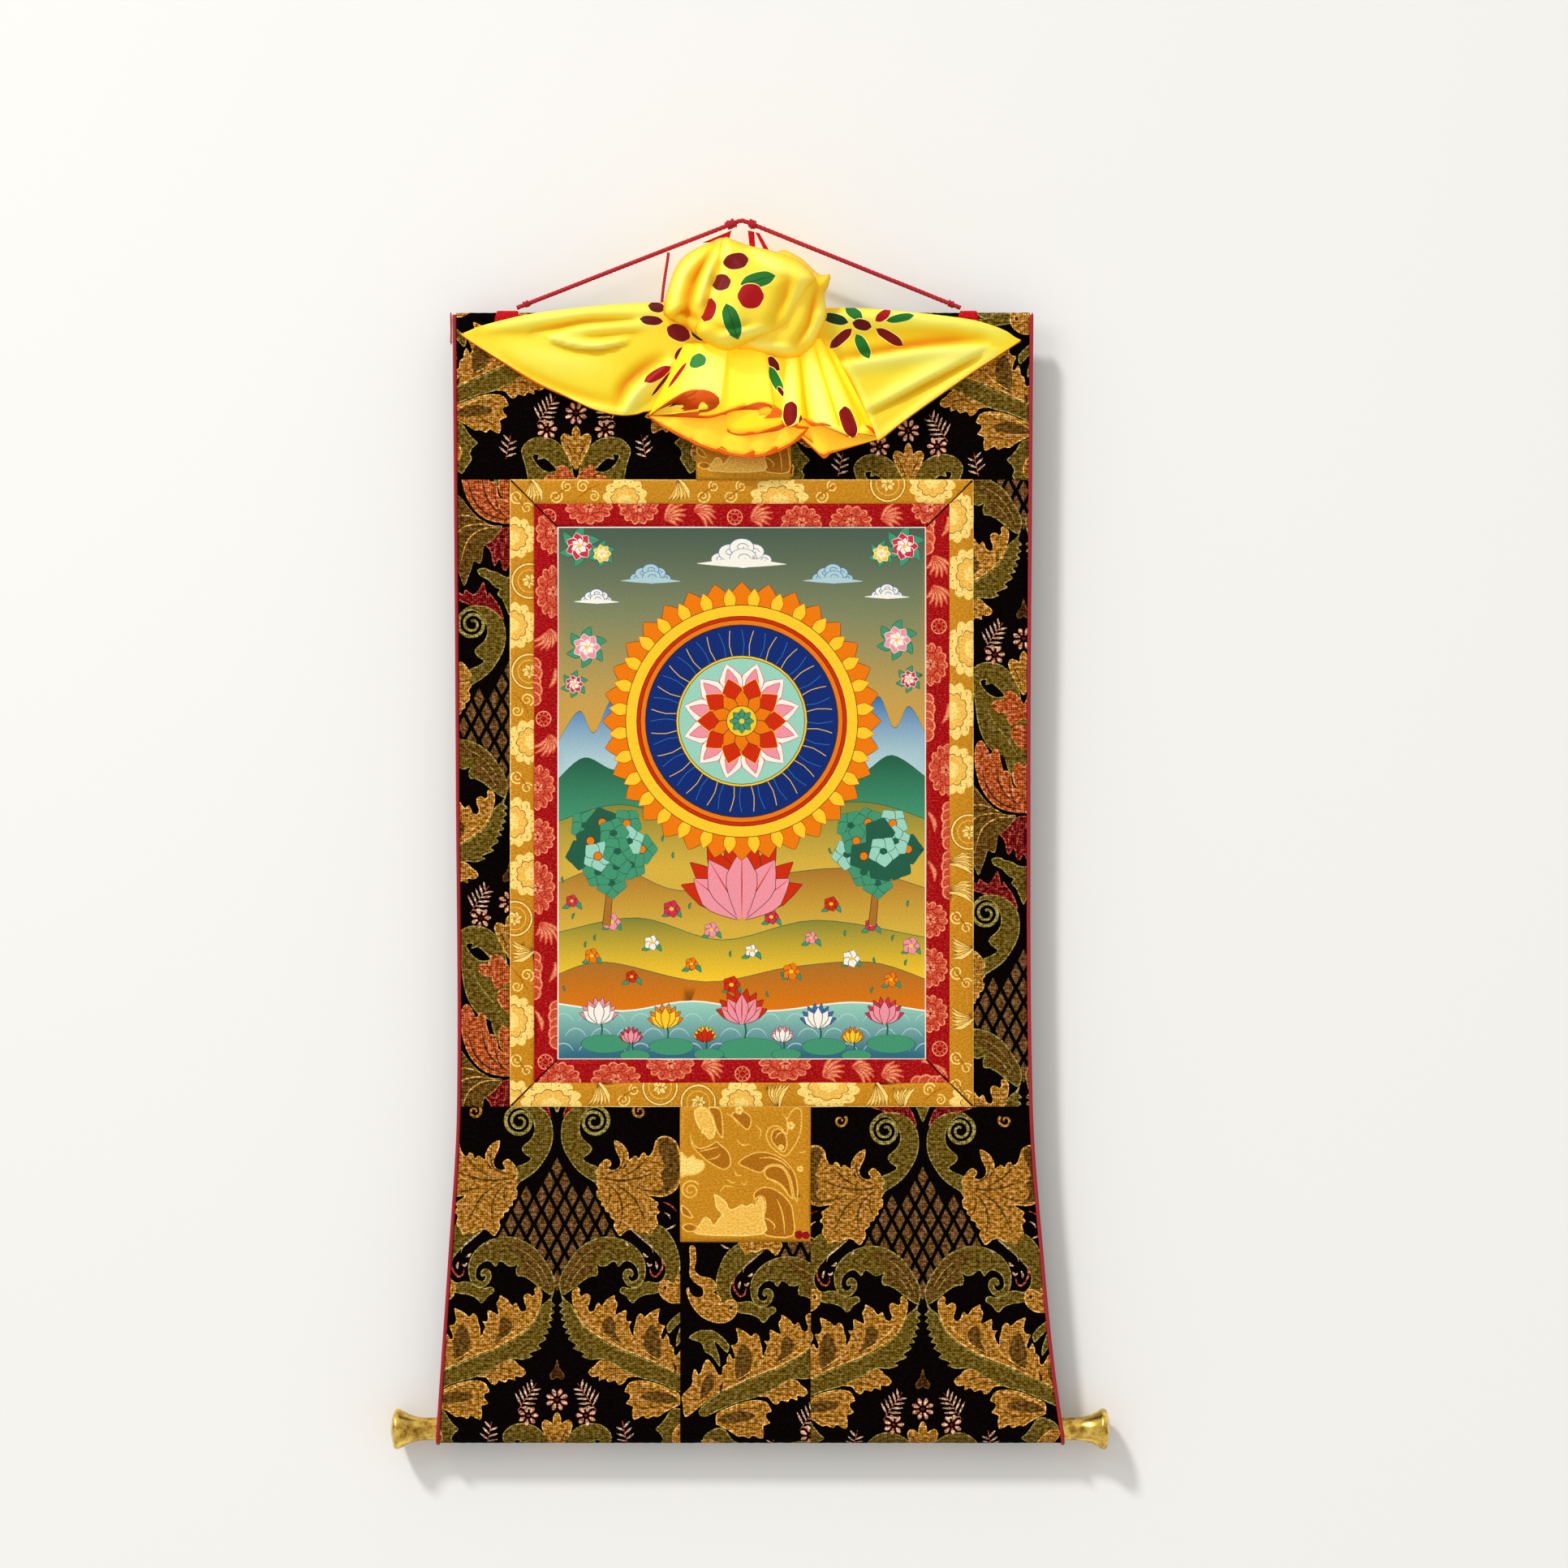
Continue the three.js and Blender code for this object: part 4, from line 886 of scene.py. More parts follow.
# Gold silk patches
# A square of gold damask let in below the border, and a narrower one sewn on the head panel, drawn with
# plumes, curls and blossoms in a paler line on the gold ground.
GILT, PALE_GILT, DEEP_GILT = dye(200, 136, 38), dye(242, 190, 92), dye(174, 106, 18)
CREAM, SCARLET = dye(250, 216, 124), dye(150, 10, 20)
PATCH_THICKNESS = 2.0
DAMASK_UNIT = 0.11  # millimetres in a unit of the damask's chart
DAMASK_CORNER = (5, 15)  # where the patch's upper left corner lies on it, with y down
DAMASK_LEAVES = [
    # fill, line, outline
    (DEEP_GILT, PALE_GILT, [(430, 435), (480, 385), (560, 352), (640, 348), (720, 375), (790, 420),
        (850, 500), (875, 600), (872, 720), (846, 690), (832, 620), (812, 540), (765, 465), (700, 445),
        (645, 463), (615, 498), (575, 503), (500, 472)]),
    (DEEP_GILT, PALE_GILT, [(622, 500), (645, 465), (700, 447), (765, 467), (810, 545), (830, 630),
        (838, 700), (800, 670), (755, 610), (700, 575), (645, 545)]),
    (DEEP_GILT, PALE_GILT, [(552, 705), (545, 660), (580, 622), (630, 606), (700, 620), (770, 668),
        (822, 730), (842, 800), (840, 970), (640, 970), (612, 900), (618, 830), (632, 760), (625, 700),
        (600, 680), (575, 690)]),
    (PALE_GILT, CREAM, [(130, 960), (150, 880), (190, 830), (230, 850), (250, 890), (290, 840), (310, 810),
        (270, 760), (260, 700), (255, 660), (300, 680), (345, 720), (370, 770), (420, 760), (460, 735),
        (490, 750), (530, 730), (560, 740), (585, 690), (612, 690), (630, 745), (620, 830), (612, 960)]),
    (GILT, PALE_GILT, [(755, 60), (795, 95), (820, 50), (860, 22), (900, 40), (906, 120), (893, 220),
        (850, 310), (780, 385), (690, 330), (652, 282), (636, 230), (652, 180), (700, 152), (752, 166),
        (790, 210), (790, 120)]),
    (DEEP_GILT, PALE_GILT, [(690, 290), (672, 240), (690, 190), (735, 175), (780, 215), (798, 270),
        (788, 330), (760, 352)]),
    (DEEP_GILT, PALE_GILT, [(78, 200), (92, 260), (122, 306), (170, 318), (240, 290), (272, 268),
        (312, 300), (360, 342), (380, 400), (378, 450), (330, 484), (270, 460), (190, 410), (130, 352),
        (90, 300)]),
    (PALE_GILT, CREAM, [(110, 40), (190, 22), (240, 90), (270, 190), (232, 258), (165, 200), (122, 130)]),
    (DEEP_GILT, PALE_GILT, [(212, 22), (300, 30), (322, 130), (320, 250), (276, 200), (244, 100)]),
    (CREAM, PALE_GILT, [(8, 350), (60, 390), (100, 370), (130, 402), (170, 410), (190, 450), (170, 490),
        (120, 520), (50, 526), (8, 530)]),
    (DEEP_GILT, PALE_GILT, [(18, 905), (45, 880), (90, 876), (132, 900), (115, 935), (60, 942)]),
    (DEEP_GILT, PALE_GILT, [(14, 742), (58, 765), (104, 835), (50, 830), (14, 800)]),
    (DEEP_GILT, PALE_GILT, [(380, 70), (430, 130), (500, 190), (532, 140), (522, 80), (450, 40)]),
]
DAMASK_LINES = [
    [(590, 395), (680, 392), (760, 425), (815, 480)],
    [(640, 545), (700, 560), (760, 600), (800, 650)],
    [(720, 700), (750, 770), (770, 860), (776, 955)],
    [(612, 835), (660, 850), (702, 890), (694, 922)],
    [(215, 405), (270, 392), (300, 365)],
    [(150, 345), (220, 330), (290, 310)],
    [(560, 700), (570, 725), (598, 716), (590, 700)],
    [(710, 250), (730, 215), (765, 208)],
    [(410, 490), (425, 525), (460, 520)],
    [(350, 552), (385, 575), (415, 572)],
    [(450, 570), (480, 590), (500, 560)],
    [(340, 60), (400, 100), (440, 160)],
    [(880, 350), (905, 352), (935, 345)],
    [(300, 640), (340, 600), (400, 610)],
    [(560, 150), (600, 190), (590, 250)],
    [(420, 260), (470, 300), (520, 290)],
]


def damask(left, top, scale):
    """The damask's foliage from a patch's upper left corner, at a scale."""
    def charted(points):
        return [((x - DAMASK_CORNER[0]) * DAMASK_UNIT, (DAMASK_CORNER[1] - y) * DAMASK_UNIT) for x,
                y in points]

    parts = []
    for fill, line, outline in DAMASK_LEAVES:
        parts += rimmed(charted(outline), fill, line, 1.1)
    parts += [(PALE_GILT, tapered(charted(line), 1.2, 0.5)) for line in DAMASK_LINES]
    parts += curl(8.5, -68, 8.2, 1.8, 0.6, 1, 1.6, PALE_GILT)
    for x, y, radius in [(89.6, -15.4, 3.6), (48, -3, 3.4), (97.5, -50.5, 2.6), (82, -33, 2.4), (20, -20, 3)]:
        parts += blossom(x, y, radius, 5, CREAM, PALE_GILT, GILT)
    parts += blossom(96.5, -104, 3.6, 5, SCARLET, SCARLET, SCARLET)
    parts += blossom(102, -104.5, 3.2, 5, SCARLET, SCARLET, SCARLET)
    return [(colour, [(left + x * scale, top + y * scale) for x, y in polygon]) for colour, polygon in parts]


gold_face = woven_material("gold damask face", 0.0011, 0.5, 0.1, 0.45, 0.6)
gold_back = reverse_material("gold damask reverse", dye(196, 158, 86), dye(140, 96, 40), 0.0013)
HEAD_PATCH_LEFT, HEAD_PATCH_RIGHT, HEAD_PATCH_TOP = -37.0, 40.0, -119.0
HEAD_PATCH_THICKNESS = 1.1
HEAD_PATCH_PROUD = BROCADE / 2 + 0.3 + HEAD_PATCH_THICKNESS / 2  # it lies on the head panel
PATCHES = [
    # node, left, right, top, bottom, thickness, how far proud of the brocade's middle, scale of the foliage
    ("gold_patch_foot", PATCH_LEFT, PATCH_RIGHT, FRAME_BOTTOM, PATCH_BOTTOM, PATCH_THICKNESS, 0.0, 1.0),
    ("gold_patch_head", HEAD_PATCH_LEFT, HEAD_PATCH_RIGHT, HEAD_PATCH_TOP, FRAME_TOP, HEAD_PATCH_THICKNESS,
     HEAD_PATCH_PROUD, 0.82),
]


def pillow(distance, height, reach=4.0):
    """How far a sewn cloth stands up away from its seam."""
    t = min(max(distance / reach, 0), 1)
    return height * math.sqrt(1 - (1 - t) ** 2)


for node, left, right, top, bottom, thickness, proud, scale in PATCHES:
    corners = [(left, top), (left, bottom), (right, bottom), (right, top)]

    def on_patch(x, z):
        rim = min(x - left, right - x, z - bottom, top - z)
        return hang(x, z, proud + pillow(rim, 0.5) - 0.25)

    patch = woven_sheet(f"{node}_cloth", corners, damask(left, top, scale), GILT, on_patch, (4, 4), thickness,
                        (gold_face, gold_back))
    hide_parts(node)

# Gold border
# Mitred strips of gold brocade with large pale leaves, sewn round the red border. The mitres show as fine
# dark lines from corner to corner.
UMBER = dye(140, 84, 22)
BORDER = 19.0


def strip_outline(side, half, top, bottom):
    """The mitred strip on one side of a frame, and its run: start, ways along and across, length."""
    if side in ("top", "bottom"):
        z0, z1 = (top, top - BORDER) if side == "top" else (bottom, bottom + BORDER)
        corners = [(-half, z0), (BORDER - half, z1), (half - BORDER, z1), (half, z0)]
        return corners, ((-half, (z0 + z1) / 2), (1, 0), (0, 1), 2 * half)
    x0, x1 = (-half, BORDER - half) if side == "left" else (half, half - BORDER)
    corners = [(x0, top), (x0, bottom), (x1, bottom + BORDER), (x1, top - BORDER)]
    return corners, (((x0 + x1) / 2, top), (0, -1), (1, 0), top - bottom)


def laid_along(run, parts):
    """Shapes drawn along a strip, as (distance along, offset across), laid on the mount."""
    (x0, z0), (ax, az), (cx, cz), _ = run
    return [(colour, [(x0 + s * ax + c * cx, z0 + s * az + c * cz) for s, c in polygon]) for colour,
            polygon in parts]


def seams(side, corners, mitre, fold):
    """The mitre's stitched lines at a strip's two ends, and the fold along its outer edge."""
    ends = ((0, 1), (3, 2)) if side in ("top", "bottom") else ((0, 3), (1, 2))
    outer = (0, 3) if side in ("top", "bottom") else (0, 1)
    lines = [(mitre, 1.5, pair) for pair in ends] + [(fold, 1.3, outer)]
    return [(colour, stroke([(*corners[a], width), (*corners[b], width)])) for colour, width, (a, b) in lines]


def scalloped(s, c, length, width, lobes, turn=0.0, depth=0.16):
    """A rounded form with a scalloped rim, such as a peony or a bank of cloud."""
    ring = []
    for k in range(lobes * 6):
        angle = turn + 2 * math.pi * k / (lobes * 6)
        reach = (1 - depth + depth * abs(math.sin(lobes * (angle - turn) / 2))) / 2
        ring.append((s + reach * length * math.cos(angle), c + reach * width * math.sin(angle)))
    return ring


def disc(x, y, radius, sides=40, squash=1.0):
    turns = [2 * math.pi * k / sides for k in range(sides)]
    return [(x + radius * math.cos(a), y + squash * radius * math.sin(a)) for a in turns]


def ringed(x, y, rings):
    """Rings one inside the other, each a colour and a radius."""
    return [(colour, disc(x, y, radius)) for colour, radius in rings]


def gold_run(length, rng):
    """Pale peonies, medallions, fans of ribs and curls that follow one another along a gold strip."""
    parts = []
    s = 8.0
    while s < length:
        kind = rng.choice(["peony", "peony", "medallion", "fan", "curls", "plain"])
        side, lean = rng.choice((-1, 1)), rng.uniform(-2, 2)
        if kind == "peony":
            long, turn = rng.uniform(34, 52), rng.uniform(0, 1)
            parts += [(CREAM, scalloped(s + long / 2, 5 * side, long, 34, 11, turn)),
                      (UMBER, scalloped(s + long / 2, 7 * side, long * 0.66, 24, 9, turn)),
                      (PALE_GILT, scalloped(s + long / 2, 7 * side, long * 0.66 - 1.4, 22.6, 9, turn)),
                      (CREAM, scalloped(s + long / 2, 9 * side, long * 0.36, 14, 7, turn))]
            for k in range(7):
                reach = long * (0.34 + 0.1 * (k % 2))
                angle = math.pi * (0.1 + 0.133 * k)
                x, y = s + long / 2 + reach * math.cos(angle), (5 - 14 * math.sin(angle)) * side
                parts.append((UMBER, stroke([(s + long / 2 + (x - s - long / 2) * 0.8, y * 0.86, 0.3),
                                             (x, y, 0.8)])))
            s += long + 4
        elif kind == "medallion":
            rings = [(UMBER, 15), (CREAM, 14.4), (UMBER, 13), (GILT, 12.5), (PALE_GILT, 9.5), (GILT, 8.8)]
            parts += ringed(s + 14, 6 * side, rings)
            parts += blossom(s + 14, 6 * side, 6, 7, CREAM, UMBER, GILT, edge=0.5)
            s += 31
        elif kind == "fan":
            for k in range(6):
                tip = (s + 3.6 * k, -8 * side + lean)
                parts += lobe((s + 9, 10 * side), tip, 3.6, CREAM if k % 2 else PALE_GILT, UMBER, vein=None,
                              edge=0.5)
            s += 23
        elif kind == "curls":
            parts += curl(s + 6, 4 * side, 5.5, 1.5, 0.5, side, 1.3, CREAM)
            parts += curl(s + 15, -4 * side, 4.5, 1.4, 2, -side, 1.2, CREAM)
            parts.append((DEEP_GILT, stroke([(s, -8, 0.4), (s + 9, lean, 1.4), (s + 20, 6, 0.4)])))
            s += 22
        else:
            s += 12
    return parts


border_rng = random.Random(11)


def border_strip(name, side, half, top, bottom, run_of, colours, plump, thickness, materials):
    """One mitred strip of a border, padded up by its seam allowance."""
    corners, run = strip_outline(side, half, top, bottom)
    (x0, z0), _, across, length = run
    ground, mitre, fold = colours

    def on_strip(x, z):
        off = (x - x0) * across[0] + (z - z0) * across[1]
        return hang(x, z, pillow(BORDER / 2 - abs(off), plump) - 0.3)

    design = laid_along(run, run_of(length, border_rng)) + seams(side, corners, mitre, fold)
    strip = woven_sheet(f"{name}_{side}_cloth", corners, design, ground, on_strip, (3.2, 3.2), thickness,
                        materials)
    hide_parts(f"{name}_{side}")
    return strip, (BORDER * MM, length * MM)


for side in ("top", "bottom", "left", "right"):
    strip, flat = border_strip("gold_border", side, FRAME_HALF, FRAME_TOP, FRAME_BOTTOM, gold_run,
                               (GILT, BROWN, CREAM), 0.9, 2.0, (gold_face, gold_back))

# Red border
# Mitred strips of scarlet silk brocade inside the gold ones, woven with salmon peonies, berries and sprays.
RED, SALMON, CORAL = dye(166, 3, 6), dye(204, 84, 62), dye(236, 146, 108)
RED_OUTER = FRAME_HALF - BORDER


def red_run(length, rng):
    """Peonies cut by the strip's edges, sprays, clouds and medallions along a red strip."""
    parts = []
    s = 3.0
    while s < length:
        kind = rng.choice(["peony", "spray", "peony", "cloud", "medallion", "spray"])
        side, lean = rng.choice((-1, 1)), rng.uniform(-3, 3)
        if kind == "peony":
            long, turn = rng.uniform(30, 44), rng.uniform(0, 1)
            middle, rim = s + long / 2, 7 * side
            parts += [(CORAL, scalloped(middle, rim, long, 30, 13, turn)),
                      (SALMON, scalloped(middle, rim, long - 2.4, 27.6, 13, turn)),
                      (RED, scalloped(middle, rim * 1.2, long * 0.62, 18, 9, turn)),
                      (SALMON, scalloped(middle, rim * 1.2, long * 0.62 - 1.8, 16.4, 9, turn))]
            for k in range(9):
                angle = math.pi * (0.06 + 0.11 * k)
                near, far = [(middle + long * r * math.cos(angle), rim - 26 * r * side * math.sin(angle))
                             for r in (0.3, 0.46)]
                parts.append((RED if k % 2 else CORAL, stroke([(*near, 0.4), (*far, 1.1)])))
            parts += blossom(middle, rim * 0.9, 5, 6, CORAL, RED, RED, edge=0.6)
            s += long + rng.uniform(3, 9)
        elif kind == "cloud":
            for k in range(5):
                parts += [(CORAL, disc(s + 5 + 7 * k, 9 * side, 5.8 + (k % 2))),
                          (SALMON, disc(s + 5 + 7 * k, 9.4 * side, 4.8 + (k % 2)))]
            parts += lobe((s + 8, -8 * side), (s + 24, -3 * side), 3.4, CORAL, SALMON, vein=None)
            s += 40
        elif kind == "medallion":
            rings = [(CORAL, 6.4), (RED, 5.4), (SALMON, 3.4), (RED, 2.0)]
            parts += ringed(s + 9, lean, rings)
            for k in range(8):
                parts.append((CORAL, disc(s + 9 + 4.4 * math.cos(0.785 * k),
                                          lean + 4.4 * math.sin(0.785 * k), 0.6, 8)))
            s += 22
        else:
            for k in range(6):
                angle = 0.42 * (k - 2.5)
                tip = (s + 3 + 15 * math.cos(angle), lean + 12 * math.sin(angle))
                parts += lobe((s, -4 * side), tip, 2.8, CORAL, SALMON, vein=None)
            s += 24
    return parts


red_face = woven_material("scarlet brocade face", 0.0011, 0.55, 0.06, 0.4, 0.9)
red_back = reverse_material("scarlet brocade reverse", dye(176, 70, 62), dye(110, 16, 18), 0.0012)
for side in ("top", "bottom", "left", "right"):
    strip, flat = border_strip("red_border", side, RED_OUTER, FRAME_TOP - BORDER, FRAME_BOTTOM + BORDER,
                               red_run,
                               (RED, dye(70, 4, 4), RED), 0.6, 1.5, (red_face, red_back))

# Painting
# Distemper on primed cotton canvas, sewn into the red border. Its picture here is a plain traditional one: a
# lotus wheel over a pond between hills and fruit trees, with peonies and clouds above.
CANVAS_THICKNESS = 1.2
CANVAS_HALF, CANVAS_TOP, CANVAS_BOTTOM = 150.0, -249.0, -682.0
FINE = 0.55  # width of a drawn line
INK, WHITE, PINK, PEONY = dye(66, 40, 34), dye(246, 240, 226), dye(238, 150, 160), dye(206, 60, 80)
VERMILION, ORANGE, SAFFRON = dye(206, 52, 30), dye(236, 124, 34), dye(250, 202, 62)
INDIGO, AZURE, MIST = dye(24, 46, 112), dye(58, 112, 168), dye(176, 204, 206)
MINT, JADE, PINE = dye(154, 208, 186), dye(70, 148, 110), dye(38, 92, 68)
MEADOW, DEEP_WATER = dye(214, 176, 72), dye(52, 104, 124)
EARTH, OLIVE_GREEN = dye(168, 112, 48), dye(128, 128, 56)
SKY = [
    # distance down, colour
    (0, (74, 92, 78)), (70, (126, 132, 96)), (140, (196, 158, 84)), (215, (230, 164, 60)),
    (300, (226, 176, 70)),
]


def sky_colour(x, z):
    """The sky's wash, from grey-green at the top to orange at the hills."""
    down = min(max(CANVAS_TOP - z, 0), SKY[-1][0] - 1e-6)
    k = next(i for i in range(len(SKY) - 1) if SKY[i + 1][0] > down)
    t = (down - SKY[k][0]) / (SKY[k + 1][0] - SKY[k][0])
    return dye(*[a + t * (b - a) for a, b in zip(SKY[k][1], SKY[k + 1][1])])


def wash(upper, lower, top, bottom):
    """A colour that runs from one dye to another between two heights on the canvas."""
    def colour(_, z):
        t = min(max((CANVAS_TOP + top - z) / (top - bottom), 0), 1)
        return [a + t * (b - a) for a, b in zip(upper, lower)]
    return colour


def lined(polygon_of, size, fill, line=INK):
    """A painted shape with a drawn outline. polygon_of gives the shape at a size."""
    return [(line, polygon_of(size + FINE)), (fill, polygon_of(size))]


def ring_of_petals(x, y, inner, outer, count, width, fill, line, turn=0.0):
    parts = []
    for k in range(count):
        angle = turn + 2 * math.pi * k / count
        ends = [(x + r * math.cos(angle), y + r * math.sin(angle)) for r in (inner, outer)]
        parts += lobe(*ends, width, fill, line, bend=0.0, vein=None, edge=FINE)
    return parts


def cloud(x, y, size, tint):
    """A bank of rolling cloud with a curl in each roll."""
    parts = []
    for dx, dy, radius in [(-1.5, -0.2, 0.55), (1.5, -0.25, 0.5), (-0.8, 0.25, 0.75), (0.8, 0.3, 0.7),
                           (0, 0.6, 0.8),
                           (0.1, -0.15, 0.9)]:
        parts += lined(lambda r: disc(x + dx * size, y + dy * size, r, 16, 0.72), radius * size, tint, AZURE)
        parts.append((AZURE, curl_line(x + dx * size, y + dy * size, radius * size * 0.55)))
    parts.append((tint, stroke([(x - 3 * size, y - 0.5 * size, 0.4), (x, y - 0.45 * size, 0.6 * size),
                                (x + 3 * size, y - 0.55 * size, 0.4)])))
    return parts


def curl_line(x, y, radius):
    points = []
    for k in range(13):
        reach, angle = radius * (1 - 0.06 * k), 0.55 * k
        points.append((x + reach * math.cos(angle), y + 0.72 * reach * math.sin(angle), FINE))
    return stroke(points, steps=1)


def peony(x, y, size, fill):
    parts = []
    for k in range(6):
        angle = 0.3 + 2 * math.pi * k / 6
        parts += lobe((x, y), (x + 1.9 * size * math.cos(angle), y + 1.9 * size * math.sin(angle)),
                      0.9 * size, JADE,
                      PINE, vein=None, edge=FINE)
    parts += blossom(x, y, 1.25 * size, 7, fill, WHITE, fill, edge=FINE)
    return parts + blossom(x, y, 0.75 * size, 6, WHITE, fill, SAFFRON, turn=0.4, edge=FINE)


def lotus(x, y, size, fill, heart):
    """A lotus seen from the side."""
    parts = []
    for k in range(8):
        angle = math.pi * (0.06 + 0.126 * k)
        tip = (x + 1.25 * size * math.cos(angle), y + 1.25 * size * math.sin(angle))
        parts += lobe((x, y - 0.25 * size), tip, 0.5 * size, heart, INK, bend=0.0, vein=None, edge=FINE)
    for angle in (0.12, 0.88, 0.28, 0.72, 0.5):
        tip = (x + 1.05 * size * math.cos(math.pi * angle), y + 0.95 * size * math.sin(math.pi * angle))
        parts += lobe((x, y - 0.4 * size), tip, 0.62 * size, fill, INK, bend=0.0,
                      vein=heart if size > 15 else None,
                      edge=FINE)
    return parts


def fruit_tree(x, y, size, rng):
    """A round-crowned tree with orange fruit."""
    parts = [(INK, stroke([(x - 2, y - 2.3 * size, 7), (x + 1, y - size, 5), (x, y, 3)])),
             (EARTH, stroke([(x - 2, y - 2.3 * size, 6), (x + 1, y - size, 4), (x, y, 2)]))]
    for k in range(14):
        angle, reach = 2.4 * k, size * math.sqrt(1 - k / 14)
        cx, cy = x + reach * math.cos(angle), y + 1.1 * reach * math.sin(angle)
        fill = rng.choice([JADE, PINE, JADE, MINT])
        parts += blossom(cx, cy, 0.48 * size, 5, fill, PINE, PINE, turn=angle, edge=FINE)
        if k % 3 == 0:
            parts += lined(lambda r: disc(cx, cy, r, 10), 0.12 * size, ORANGE)
    return parts


def hill(points, upper, lower, line):
    """A hill from its ridge points down, washed from one colour into another."""
    ridge = rounded(points, 6)
    foot = [(points[-1][0], -433), (points[0][0], -433)]
    crest = max(y for _, y in ridge)
    return [(line, [(x, y + FINE) for x, y in ridge] + foot),
            (wash(upper, lower, crest, crest - 52), ridge + foot)]


